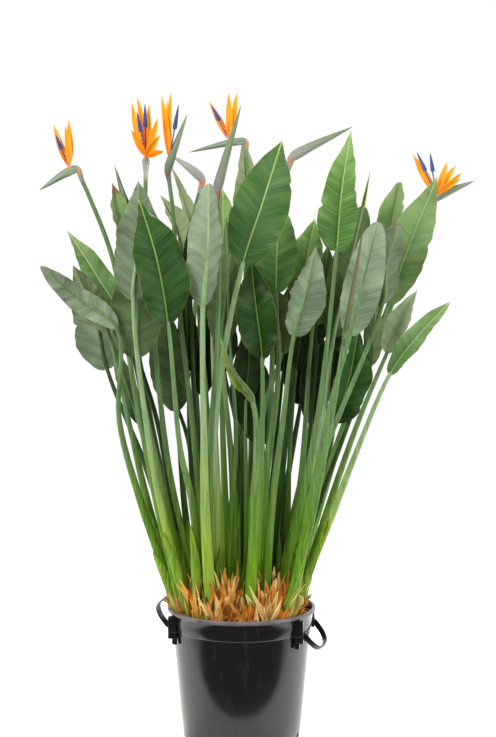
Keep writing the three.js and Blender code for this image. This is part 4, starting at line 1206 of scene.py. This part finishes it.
def stalk_piece(name, spec, paint):
    """A stalk with its spathe or closed beak, in one grown piece."""
    foot, top = stem_foot(spec)
    head, beak, rise, reach, bend = bloom_lines(spec)
    throat, swell = head - rise * THROAT, head + reach * SWELL[0] + rise * SWELL[1]
    route = [top, *spec["via"], throat, head, swell, beak]
    curve = Spline(route)
    span = 1 / (len(route) - 1)
    throat_at = (len(spec["via"]) + 1) * span

    def square(tangent):
        up = unit(np.cross(bend, tangent))
        return unit(np.cross(tangent, up)), up

    heap = Heap()
    u = np.linspace(0, 1, STALK_RINGS)
    centres = np.vstack([foot, curve.point(u * throat_at)])
    side, up = square(np.vstack([unit(top - foot), curve.tangent(u * throat_at)]))
    radii = np.concatenate([[STEM_RADIUS], radius_along(STALK_RADII, u, STEM_RADIUS)])
    rod = tube(centres, side, up, radii, radii, STALK_SIDES)
    heap.add(rod, tube_faces(len(rod), STALK_SIDES), "petiole_mid")
    add_spathe(heap, curve, square, throat_at, span, spec["girth"], paint)
    for place in BRACTS.get(name, ()):
        radius = radius_along(STALK_RADII, place, STEM_RADIUS)
        add_bract(heap, curve, place * throat_at, square, radius)
    node = f"{name}_stalk_spathe" if "sepals" in spec else f"{name}_stalk"
    heap.build(f"{name}_grown", "root", [node])


def add_sepal(heap, seat, tip, face):
    """An orange sepal: a folded, slightly twisted sheet that tapers to a point."""
    span = tip - seat
    length = np.linalg.norm(span)
    side, up = frame_at(unit(span), face)
    u = np.linspace(0.02, 1, SEPAL_ROWS)
    half = np.maximum(SEPAL_HALF * np.maximum(np.sin(math.pi * u**0.87), 0) ** 0.8, 0.5)
    bow = 0.05 * length * np.sin(math.pi * u)
    sway = rng.uniform(-0.03, 0.03) * length * np.sin(math.pi * u)
    centres = seat + span * u[:, None] - up * bow[:, None] + side * sway[:, None]
    twist = rng.uniform(-0.5, 0.5) * u
    v = np.linspace(-1, 1, SEPAL_COLUMNS)
    out = np.abs(v)
    fold = 0.45 + 0.25 * u
    sides = side * np.cos(twist)[:, None] + up * np.sin(twist)[:, None]
    ups = up * np.cos(twist)[:, None] - side * np.sin(twist)[:, None]
    wide = half[:, None] * out * np.cos(fold)[:, None] * np.sign(v)
    rise = half[:, None] * out**1.4 * np.sin(fold)[:, None]
    grid = centres[:, None] + sides[:, None] * wide[..., None] + ups[:, None] * rise[..., None]
    thickness = 1.0 - 0.4 * np.broadcast_to(out, wide.shape)
    add_shell(heap, grid, thickness, "sepal", "sepal", sheet_marks(u, v))


def add_arrow(heap, seat, tip, face):
    """A blue arrow petal: a narrow shaft that opens into swept barbs."""
    direction = unit(tip - seat)
    start = seat + direction * 3
    side, up = frame_at(direction, face)
    u = np.array(sorted(set(np.linspace(0, 1, ARROW_ROWS)) | set(ARROW_PLACES)))
    half = np.interp(u, ARROW_PLACES, ARROW_HALVES)
    v = np.linspace(-1, 1, ARROW_COLUMNS)
    out = np.abs(v)[None]
    rise = out * half[:, None] * 0.3
    swept = -out * np.maximum(half - 2, 0)[:, None] * 0.5 * smooth((u - 0.54) / 0.03)[:, None]
    centres = start + (tip - start) * u[:, None]
    grid = centres[:, None] + side * (half[:, None] * v[None])[..., None] + up * rise[..., None]
    grid = grid + direction * swept[..., None]
    thickness = np.broadcast_to(2.6 - 1.5 * out, rise.shape)
    add_shell(heap, grid, thickness, "petal", "petal", sheet_marks(u, v))


def add_ball(heap, centre):
    turn = np.linspace(0.15, math.pi - 0.15, BALL_RINGS)
    centres = centre + np.outer(np.cos(turn), vec(0, 0, BALL_RADIUS))
    side, up = np.tile(vec(1, 0, 0), (BALL_RINGS, 1)), np.tile(vec(0, 1, 0), (BALL_RINGS, 1))
    size = BALL_RADIUS * np.sin(turn)
    heap.add(tube(centres, side, up, size, size, BALL_SIDES), tube_faces(BALL_RINGS, BALL_SIDES), "sepal")


def bloom_pieces(name, spec):
    """An open bloom in three pieces: its stalk with the spathe, its sepals and its arrow petals."""
    head, _, rise, reach, _ = bloom_lines(spec)
    seat = head + reach * spec.get("seat", SEAT) + rise * (spec["girth"] * 0.8 + 4)
    face = unit(vec(0.2, -1, 0.1))
    stalk_piece(name, spec, SPATHE_PAINTS.get(name, "spathe"))
    sepals = Heap()
    add_ball(sepals, seat - rise * 1.5)
    for tip in spec["sepals"]:
        add_sepal(sepals, seat, vec(*tip), face)
    sepals.build(f"{name}_sepal_fan", "root", [f"{name}_orange_sepals"])
    petals = Heap()
    for tip in spec["arrows"]:
        add_arrow(petals, seat, vec(*tip), face)
    petals.build(f"{name}_arrow_petals", "root", [f"{name}_blue_petals"])


# Husks, litter and soil

MAT_RINGS = 36
MAT_COLUMNS = 144
HUSK_PAINTS = ("husk_tan", "husk_pale", "husk_orange", "husk_brown")
# How often each of the husk paints is drawn
FOOT_SHARES = [0.34, 0.3, 0.26, 0.1]
MOUND_SHARES = [0.36, 0.34, 0.22, 0.08]
CHIP_SHARES = [0.28, 0.2, 0.32, 0.2]
FOOT_STRIPS = 5  # old sheaths at the foot of each stem
MOUND_STRIPS = 57  # in each mound
CHIPS = 1100
STRAWS = 190
# How far from the pot's axis these may start, then how far they may reach
STRIP_START = 146
CHIP_START = 143
STRAW_START = 140
CHIP_REACH = 160
STRAW_REACH = 163
STRAW_ROWS = 8
STRAW_SIDES = 4
# Where dry sheaths stand highest: across, depth, spread and height
MOUNDS = (
    (-132, -52, 26, 92), (-98, -104, 26, 104), (-66, -126, 20, 84), (-28, -104, 20, 132),
    (14, -128, 24, 62), (58, -122, 20, 112), (84, -104, 22, 128), (118, -72, 24, 92),
    (-70, 100, 44, 64), (70, 100, 44, 64),
)
STUMPS = (
    dict(foot=(92, -84, 262), end=(126, -96, 396), radius=9),
    dict(foot=(100, -92, 270), end=(136, -100, 352), radius=8),
)
STUMP_SIDES = 20
STUMP_PLACES = (0.2, 0.6, 0.9, 0.985, 1.0)
STUMP_SIZES = (1.0, 0.98, 0.96, 0.97, 0.86)
SOIL_GAP = 0.4  # between the soil and the pot
SOIL_RINGS = 26
SOIL_COLUMNS = 120
ROOTS = 7  # in each drain slot


def ring_grid(radii, heights, columns):
    turn = np.arange(columns) * TAU / columns
    radii, heights = np.asarray(radii, float), np.asarray(heights, float)
    flat = np.stack([np.cos(turn), np.sin(turn)], -1)[None] * radii[:, None, None]
    return np.concatenate([flat, np.broadcast_to(heights[:, None, None], (len(radii), columns, 1))], -1)


def litter_rise(r):
    return EDGE_RISE + (CROWN_RISE - EDGE_RISE) * (1 - r / LITTER_RADIUS)


def add_mat(heap):
    """The uneven mat of bark and crumbs that the husks lie on."""
    outer = [LITTER_RADIUS + 1, LITTER_RADIUS, 4]
    radii = np.concatenate([np.linspace(3, LITTER_RADIUS, MAT_RINGS), outer])
    foot = soil_top(np.minimum(radii, LITTER_RADIUS)) + 0.5
    tops = foot + litter_rise(np.minimum(radii, LITTER_RADIUS))
    heights = np.concatenate([tops[:MAT_RINGS], [foot[MAT_RINGS] + 8], foot[MAT_RINGS + 1 :]])
    grid = ring_grid(radii, heights, MAT_COLUMNS)
    top, inner = grid[:MAT_RINGS], grid[: MAT_RINGS - 1]
    top[..., 2] += rng.normal(0, 1.7, top.shape[:2]) + 2.5 * np.sin(top[..., 0] / 13)
    top[..., 2] += 2.0 * np.sin(top[..., 1] / 17 + 1)
    inner[..., :2] += rng.normal(0, 0.8, inner[..., :2].shape)
    heap.add(grid, tube_faces(len(grid), MAT_COLUMNS), "litter")


def add_strip(heap, place, out, rise, length, wide, curl, bend, paint, rows=8, columns=5):
    """A dry husk: a curled strip that stands up or lies, narrow and ragged at its end."""
    side = unit(np.cross(rise, out))
    u = np.linspace(0, 1, rows)
    v = np.linspace(-1, 1, columns)
    ragged = 1 + rng.normal(0, 0.06, (rows, columns))
    half = wide / 2 * np.maximum(1 - u**rng.uniform(1.6, 5), 0.06)
    sway = rng.uniform(-0.3, 0.3) * length * u**2
    turn = v[None] * curl * (0.8 + 0.4 * u[:, None])
    size = half[:, None] / max(math.sin(min(curl, 1.5)), 0.2) * ragged
    centres = place + rise * (length * u)[:, None] + out * (bend * u**2)[:, None]
    grid = centres[:, None] + side * (np.sin(turn) * size + sway[:, None])[..., None]
    grid = grid + out * ((1 - np.cos(turn)) * size * 0.9)[..., None]
    add_shell(heap, grid, 0.8, paint, paint, sheet_marks(u, v, place[0] * 0.37))


def add_straw(heap, place, direction, length, radius, droop):
    """A straw or fibre that sways and droops towards its end."""
    u = np.linspace(0, 1, STRAW_ROWS)
    sway = unit(np.cross(direction, vec(0.3, 0.2, 1))) * rng.uniform(-0.18, 0.18) * length
    centres = place + direction * (length * u)[:, None]
    centres = centres + np.outer(u**2, sway) - np.outer(u**2, vec(0, 0, droop))
    side, up = turned_along(unit(np.gradient(centres, axis=0)))
    size = radius * (1 - 0.6 * u)
    rod = tube(centres, side, up, size, size, STRAW_SIDES)
    heap.add(rod, tube_faces(STRAW_ROWS, STRAW_SIDES), "straw")


def any_way(flat=1.0):
    turn = rng.uniform(0, TAU)
    return unit(vec(math.cos(turn), math.sin(turn), rng.uniform(-0.2, 0.5) * flat))


def add_foot_strips(heap, spec):
    """Old sheaths that hug the foot of a stem."""
    foot, top = stem_foot(spec)
    rise = unit(top - foot)
    for _ in range(FOOT_STRIPS):
        out = unit(np.cross(rise, any_way()))
        place = foot + rise * rng.uniform(26, 34) + out * (STEM_RADIUS * 1.4 + rng.uniform(0.6, 4))
        place[:2] *= min(1, STRIP_START / math.hypot(place[0], place[1]))
        length = rng.uniform(26, 84)
        lean = unit(rise + out * rng.uniform(0.0, 0.22))
        wide, curl, bend = rng.uniform(9, 22), rng.uniform(0.5, 1.2), rng.uniform(0, 12)
        paint = rng.choice(HUSK_PAINTS, p=FOOT_SHARES)
        add_strip(heap, place, out, lean, length, wide, curl, bend, paint)


def add_mound(heap, across, depth, spread, tall):
    """A mound of tall husks that lean every way, inwards where they are near the rim."""
    for _ in range(MOUND_STRIPS):
        x, y = across + rng.normal(0, spread * 0.5), depth + rng.normal(0, spread * 0.5)
        x, y = vec(x, y) * min(1, STRIP_START / math.hypot(x, y))
        r = math.hypot(x, y)
        height = tall * rng.uniform(0.45, 1.0) * math.exp(-(((x - across) / spread / 1.4) ** 2))
        out = unit(any_way(0.0) + vec(x, y, 0) / 90)
        place = vec(x, y, soil_top(r) + 10)
        inward = vec(-x, -y, 0) / 148 * smooth((r - 105) / 40) * 0.35
        lean = unit(vec(0, 0, 1) + out * rng.uniform(-0.3, 0.5) + any_way(0.0) * 0.36 + inward)
        out = unit(out - lean * out.dot(lean))
        wide, curl, bend = rng.uniform(6, 22), rng.uniform(0.4, 1.3), rng.uniform(-8, 18)
        paint = rng.choice(HUSK_PAINTS, p=MOUND_SHARES)
        add_strip(heap, place, out, lean, height + 14, wide, curl, bend, paint)


def on_litter(reach, least, most):
    """How far out and where a loose piece lies, within reach of the axis and above the litter."""
    r, around = reach * math.sqrt(rng.uniform(0.02, 1)), rng.uniform(0, TAU)
    height = soil_top(r) + litter_rise(r) + rng.uniform(least, most)
    return r, vec(r * math.cos(around), r * math.sin(around), height)


def add_chip(heap):
    r, place = on_litter(CHIP_START, -1, 10)
    lie = any_way(2.2)
    out = unit(np.cross(lie, any_way(0.2)) + vec(0, 0, 0.6))
    length = min(rng.uniform(10, 42), CHIP_REACH - r)
    wide, curl, bend = rng.uniform(4, 12), rng.uniform(0.2, 1.1), rng.uniform(-3, 3)
    paint = rng.choice(HUSK_PAINTS, p=CHIP_SHARES)
    add_strip(heap, place, out, lie, length, wide, curl, bend, paint, rows=4, columns=3)


def add_loose_straw(heap):
    r, place = on_litter(STRAW_START, 0, 16)
    way = any_way(1.3)
    length = min(rng.uniform(20, 80), STRAW_REACH - r)
    add_straw(heap, place, way, length, rng.uniform(0.4, 1.1), rng.uniform(0, 8))


def add_stump(heap, stump):
    """A petiole that was cut off, pale on its cut."""
    foot, end = vec(*stump["foot"]), vec(*stump["end"])
    u = np.array(STUMP_PLACES)
    centres = foot + (end - foot) * u[:, None]
    side, up = turned_along(np.tile(unit(end - foot), (len(u), 1)))
    size = stump["radius"] * vec(*STUMP_SIZES)
    rings = tube(centres, side, up, size, size, STUMP_SIDES)
    walls, low_cap, _ = tube_faces(len(u), STUMP_SIDES)
    heap.add(rings, [walls, low_cap], "stump")
    heap.add(rings[-1], [[list(range(STUMP_SIDES))]], "cut_top")


def litter_piece():
    heap = Heap()
    add_mat(heap)
    for spec in [*LEAVES.values(), *BLOOMS.values(), *BUDS.values()]:
        add_foot_strips(heap, spec)
    for mound in MOUNDS:
        add_mound(heap, *mound)
    for _ in range(CHIPS):
        add_chip(heap)
    for _ in range(STRAWS):
        add_loose_straw(heap)
    for stump in STUMPS:
        add_stump(heap, stump)
    heap.build("husks_and_fibres", "root", ["dry_husks"])


def soil_piece():
    heap = Heap()
    low = POT_FLOOR + SOIL_GAP
    rim, low_rim = (wall_radius(z) - POT_WALL - SOIL_GAP for z in (SOIL_EDGE, low))
    radii = np.concatenate([np.linspace(2, rim, SOIL_RINGS), [low_rim, 2]])
    grid = ring_grid(radii, [*soil_top(radii[:SOIL_RINGS]), low, low], SOIL_COLUMNS)
    grid[: SOIL_RINGS - 1, :, 2] += rng.normal(0, 0.9, (SOIL_RINGS - 1, SOIL_COLUMNS)) - 1.5
    heap.add(grid, tube_faces(len(grid), SOIL_COLUMNS), "soil")
    heap.build("soil_crumbs", "root", ["potting_soil"])


def root_ends():
    """Tan root ends that show in the drain slots."""
    heap = Heap()
    for i in range(DRAIN["count"]):
        turn = -TAU / 4 + math.radians(DRAIN["turn"]) + i * TAU / DRAIN["count"]
        out, side = vec(math.cos(turn), math.sin(turn), 0), vec(-math.sin(turn), math.cos(turn), 0)
        for _ in range(ROOTS):
            place = out * 122 + side * rng.uniform(-6, 6) + vec(0, 0, rng.uniform(7.5, 13))
            way = unit(out + side * rng.uniform(-0.5, 0.5) + vec(0, 0, rng.uniform(-0.25, 0.1)))
            add_straw(heap, place, way, rng.uniform(7, 14), rng.uniform(0.5, 1.1), 1.0)
    heap.build("root_ends", "root", [])


# Pot and handles

SHARP_EDGE = 32  # degrees, on the shell
PART_EDGE = 30  # degrees, on its lugs and on the straps
DRAIN_BEVEL = 2.2
PIN_SIDES = 28
EYE_SIDES = 36
SEAM = dict(turn=-98, wide=0.7, high=0.35, rows=8, sides=8)
STRAP_STEPS = 90
STRAP_CORNER = 1.1
HANDLE_ROUTE = (
    (0, -1), (0.38, -0.985), (0.72, -0.86), (0.93, -0.55), (1, 0),
    (0.93, 0.55), (0.72, 0.86), (0.38, 0.985), (0, 1),
)


def arc(centre, radius, start, end, steps=5):
    turns = np.radians(np.linspace(start, end, steps))
    return [(centre[0] + radius * math.cos(a), centre[1] + radius * math.sin(a)) for a in turns]


def pot_profile():
    """Radius and height round the shell, from the middle of its underside out, up and back down inside."""
    band_low, band_high = wall_radius(BAND_FOOT), wall_radius(LIP_FOOT) + BAND_PROUD
    inner_top = wall_radius(LIP_FOOT) - POT_WALL
    return [
        (2, 2), (112, 2), (116, 0), (BASE_RADIUS - 8, 0),
        *arc((BASE_RADIUS - 6, 5.5), 5.5, -88, -8),
        (wall_radius(60), 60), (wall_radius(140), 140), (wall_radius(210), 210),
        (band_low, BAND_FOOT - 0.2), (band_low + BAND_PROUD * 0.55, BAND_FOOT + 0.3),
        (band_low + BAND_PROUD, BAND_FOOT + 1.6), (wall_radius(280) + BAND_PROUD, 280),
        (band_high, LIP_FOOT - 1.5), (band_high + 0.8, LIP_FOOT - 0.4), (LIP_RADIUS - 2.6, LIP_FOOT + 0.2),
        *arc((LIP_RADIUS - 3.2, LIP_FOOT + 3.4), 3.2, -80, 0, 5),
        *arc((LIP_RADIUS - 3.6, POT_HEIGHT - 3.6), 3.6, 0, 90, 6),
        *arc((inner_top + 5, POT_HEIGHT - 2.4), 2.4, 90, 180, 4),
        (inner_top + 0.6, LIP_FOOT + 2), (inner_top, LIP_FOOT - 4), (wall_radius(150) - POT_WALL, 150),
        (wall_radius(POT_FLOOR) - POT_WALL, POT_FLOOR), (2, POT_FLOOR),
    ]


def rounded_block(size, place, bevel=1.2):
    """A box with rounded edges as a bmesh, in millimetres."""
    made = bmesh.new()
    bmesh.ops.create_cube(made, size=1.0, matrix=Matrix.Translation(place) @ Matrix.Diagonal((*size, 1.0)))
    bmesh.ops.bevel(made, geom=made.edges[:], offset=bevel, segments=3, affect="EDGES", profile=0.5)
    return made


def block_points(made):
    made.verts.index_update()
    points = np.array([v.co for v in made.verts])
    faces = [[v.index for v in f.verts] for f in made.faces]
    made.free()
    return points, faces


def turn_z(points, degrees):
    c, s = math.cos(math.radians(degrees)), math.sin(math.radians(degrees))
    return np.asarray(points) @ np.array([[c, s, 0], [-s, c, 0], [0, 0, 1]])


def rod_along_y(radius, start, end, place, sides, bevel=0.6, hole=0.0):
    """A rod, or with hole a ring, along Y through place (x, z)."""
    low, high = min(start, end), max(start, end)
    inner = hole or 0.3
    outline = [
        (inner, low), (radius - bevel, low), (radius, low + bevel), (radius, high - bevel),
        (radius - bevel, high), (inner, high),
    ]
    if hole:
        outline.append((hole, low))
    turn = np.arange(sides) * TAU / sides
    rings = np.array([
        np.stack([place[0] + r * np.cos(turn), np.full(sides, y), place[1] + r * np.sin(turn)], -1)
        for r, y in outline
    ])
    return rings, tube_faces(len(rings), sides, capped=not hole)


def drain_cutter():
    """The blocks that cut the drain slots, as one object."""
    cutters = Heap()
    middle = BASE_RADIUS - DRAIN["deep"] / 2 + DRAIN["past"]
    size = (DRAIN["deep"], DRAIN["wide"], DRAIN["tall"] + 6)
    for i in range(DRAIN["count"]):
        turn = -90 + DRAIN["turn"] + i * 360 / DRAIN["count"]
        points, faces = block_points(rounded_block(size, (middle, 0, DRAIN["tall"] / 2 - 3), DRAIN_BEVEL))
        cutters.add(turn_z(points, turn), [[face] for face in faces], "pot_plastic")
    mesh = bpy.data.meshes.new("drain_cutters")
    mesh.from_pydata((np.vstack(cutters.points) * MM).tolist(), [], cutters.faces)
    cutter = bpy.data.objects.new("drain_cutters", mesh)
    bpy.context.scene.collection.objects.link(cutter)
    return cutter


def pot_piece():
    """The shell with its drain slots cut."""
    profile = pot_profile()
    heap = Heap()
    grid = ring_grid([p[0] for p in profile], [p[1] for p in profile], POT_SIDES)
    heap.add(grid, tube_faces(len(grid), POT_SIDES), "pot_plastic")
    pot = heap.build("pot_shell", "root", ["pot"], SHARP_EDGE)
    cutter = drain_cutter()
    cut = pot.modifiers.new("drains", "BOOLEAN")
    cut.operation, cut.object, cut.solver = "DIFFERENCE", cutter, "EXACT"
    bpy.context.view_layer.update()
    ready = pot.evaluated_get(bpy.context.evaluated_depsgraph_get())
    pot.data = bpy.data.meshes.new_from_object(ready)
    pot.modifiers.clear()
    pot.data.set_sharp_from_angle(angle=math.radians(SHARP_EDGE))
    bpy.data.objects.remove(cutter)


def lugs_piece():
    """The lugs under the lip and the hinge pins that they hold."""
    heap = Heap()
    spread = HALF_SPAN + STRAP_THICK / 2 + SIDE_GAP
    inside = HALF_SPAN - STRAP_THICK / 2 - SIDE_GAP
    pivot = (PIVOT_REACH, PIVOT_HEIGHT)
    for handle in HANDLES.values():
        turn = handle["turn"] - 90
        for hand in (-1, 1):
            middle = hand * (spread + LUG["wide"] / 2)
            radii = (LUG["outer"], LUG["inner"], LUG["step_outer"])
            outer, inner, step = (math.sqrt(radius**2 - middle**2) for radius in radii)
            # Outer reach, width, foot, top and bevel of the lug, its step and its cap
            blocks = [
                (outer, LUG["wide"], LUG["foot"], LUG["top"], 1.6),
                (step, LUG["step_wide"], LUG["step_foot"], LUG["foot"] + 4, 1.0),
                (step + 1.5, LUG["step_wide"] + 3, LUG["top"] - 5, LUG["top"] + 2, 1.0),
            ]
            for reach, wide, low, high, bevel in blocks:
                size = (reach - inner, wide, high - low)
                place = ((reach + inner) / 2, middle, (high + low) / 2)
                points, faces = block_points(rounded_block(size, place, bevel))
                heap.add(turn_z(points, turn), [[face] for face in faces], "pot_plastic")
            pins = ((PIN_RADIUS, inside - 1, spread + 2), (PIN_HEAD_RADIUS, inside - 2, inside))
            for radius, near, far in pins:
                rings, faces = rod_along_y(radius, hand * near, hand * far, pivot, PIN_SIDES)
                heap.add(turn_z(rings.reshape(-1, 3), turn), faces, "pot_plastic")
    heap.build("handle_lugs_and_pins", "root", [], PART_EDGE)


def seam_piece():
    """The moulding seam down the band."""
    turn = math.radians(SEAM["turn"])
    z = np.linspace(BAND_FOOT + 2, LIP_FOOT - 1, SEAM["rows"])
    r = wall_radius(z) + BAND_PROUD
    centres = np.stack([r * math.cos(turn), r * math.sin(turn), z], -1)
    side = np.tile(vec(-math.sin(turn), math.cos(turn), 0), (len(z), 1))
    up = np.tile(vec(math.cos(turn), math.sin(turn), 0), (len(z), 1))
    heap = Heap()
    rod = tube(centres, side, up, SEAM["wide"], SEAM["high"], SEAM["sides"])
    heap.add(rod, tube_faces(len(rod), SEAM["sides"]), "pot_plastic")
    heap.build("moulding_seam", "root", [])


def handle_piece(name, handle):
    """A strap bent from eye to eye, with a ring at each end for its pin."""
    curve = Spline([(out * HANDLE_REACH, along * HALF_SPAN, 0) for out, along in HANDLE_ROUTE])
    t = np.linspace(0, 1, STRAP_STEPS)
    centres = curve.point(t)
    kept = centres[:, 0] > EYE_HOLE + 1.0
    centres, tangents = centres[kept], curve.tangent(t)[kept]
    normal = unit(np.stack([tangents[:, 1], -tangents[:, 0], np.zeros(len(tangents))], -1))
    across = np.tile(vec(0, 0, 1), (len(centres), 1))
    half_thick, half_wide = STRAP_THICK / 2, STRAP_WIDE / 2
    section = []
    for sx, sy, start in ((1, 1, 0), (-1, 1, 90), (-1, -1, 180), (1, -1, 270)):
        middle = (sx * (half_thick - STRAP_CORNER), sy * (half_wide - STRAP_CORNER))
        section += arc(middle, STRAP_CORNER, start, start + 90, 4)
    heap = Heap()
    strap = tube(centres, normal, across, 1, 1, len(section), section)
    heap.add(strap, tube_faces(len(strap), len(section)), "handle_plastic")
    for hand in (-1, 1):
        eye = hand * HALF_SPAN
        rings, faces = rod_along_y(
            half_wide, eye - half_thick, eye + half_thick, (0, 0), EYE_SIDES, 0.5, EYE_HOLE)
        heap.add(rings, faces, "handle_plastic")
    lift = math.radians(handle["lift"])
    c, s = math.cos(lift), math.sin(lift)
    raised = np.array([[c, 0, s], [0, 1, 0], [-s, 0, c]])
    place = vec(PIVOT_REACH, 0, PIVOT_HEIGHT)
    heap.points = [turn_z(points @ raised + place, handle["turn"] - 90) for points in heap.points]
    heap.build(f"{name}_strap", name, [name], PART_EDGE)


# Build everything

for number, (name, leaf) in enumerate([*LEAVES.items(), *HALF_HIDDEN.items()]):
    leaf_piece(name, leaf, number)
for name, bloom in BLOOMS.items():
    bloom_pieces(name, bloom)
for name, bud in BUDS.items():
    stalk_piece(name, bud, BUD_PAINTS.get(name, "bud"))
litter_piece()
soil_piece()
root_ends()
pot_piece()
lugs_piece()
seam_piece()
for name, handle in HANDLES.items():
    handle_piece(name, handle)


# Floor, light and camera

FLOOR_RADIUS = 1.6
FLOOR_BACK = 1.3  # the floor's middle is behind the plant
FLOOR_GLOW = 0.45

bpy.ops.mesh.primitive_circle_add(
    vertices=96, radius=FLOOR_RADIUS, fill_type="NGON", location=(0, FLOOR_BACK, 0))
floor = bpy.context.object
floor.name = "floor"
glow = Paint("floor", 0.9, 0.1)
glow.colour(tone("#f6f6f4"))
glow.shader.inputs["Emission Color"].default_value = (1, 1, 1, 1)
glow.shader.inputs["Emission Strength"].default_value = FLOOR_GLOW
floor.data.materials.append(glow.material)


def area_light(name, place, target, size, power):
    lamp = bpy.data.lights.new(name, "AREA")
    lamp.shape, lamp.size, lamp.energy = "DISK", size, power
    thing = bpy.data.objects.new(name, lamp)
    thing.location = place
    thing.rotation_euler = (Vector(target) - Vector(place)).to_track_quat("-Z", "Y").to_euler()
    bpy.context.scene.collection.objects.link(thing)


MIDDLE = (0, 0, 0.8)
area_light("key", (-2.4, -2.6, 3.2), MIDDLE, 2.0, 145)
area_light("fill", (3.0, -1.6, 1.5), MIDDLE, 2.2, 70)
area_light("back", (0.8, 2.6, 3.2), (0, 0, 1.1), 1.8, 115)


def studio_world():
    """White to the eye, softer as a light, and dark in reflections on the camera side."""
    world = bpy.data.worlds.new("studio")
    world.use_nodes = True
    tree = world.node_tree
    nodes, link = tree.nodes, tree.links.new
    coord = nodes.new("ShaderNodeTexCoord")
    parts = nodes.new("ShaderNodeSeparateXYZ")
    path = nodes.new("ShaderNodeLightPath")
    link(coord.outputs["Generated"], parts.inputs[0])

    def sky(low, high, least, most):
        """A white light that grows from least to most between two depths."""
        ranged, shade = nodes.new("ShaderNodeMapRange"), nodes.new("ShaderNodeBackground")
        ranged.interpolation_type = "SMOOTHSTEP"
        link(parts.outputs[1], ranged.inputs["Value"])
        for key, value in (("From Min", low), ("From Max", high), ("To Min", least), ("To Max", most)):
            ranged.inputs[key].default_value = value
        shade.inputs["Color"].default_value = (1, 1, 1, 1)
        link(ranged.outputs["Result"], shade.inputs["Strength"])
        return shade.outputs[0]

    def choose(ray, no, yes):
        either = nodes.new("ShaderNodeMixShader")
        link(path.outputs[ray], either.inputs[0])
        link(no, either.inputs[1])
        link(yes, either.inputs[2])
        return either.outputs[0]

    seen = sky(-2, -1.5, 1, 1)
    lit = choose("Is Glossy Ray", sky(-1, 0.3, 0.56, 0.84), sky(-0.34, -0.1, 0.01, 1.25))
    link(choose("Is Camera Ray", lit, seen), nodes["World Output"].inputs["Surface"])
    return world


bpy.context.scene.world = studio_world()
bpy.context.scene.view_settings.view_transform = "Standard"

SENSOR = 36.0
lens = bpy.data.cameras.new("camera")
lens.sensor_width = SENSOR
lens.lens = SENSOR * VIEW["focal_px"] / VIEW["tall_px"]
camera = bpy.data.objects.new("camera", lens)
camera.location = (VIEW["across"] * MM, -VIEW["back"] * MM, VIEW["up"] * MM)
camera.rotation_euler = (math.radians(90 - VIEW["pitch"]), 0, 0)
bpy.context.scene.collection.objects.link(camera)
bpy.context.scene.camera = camera
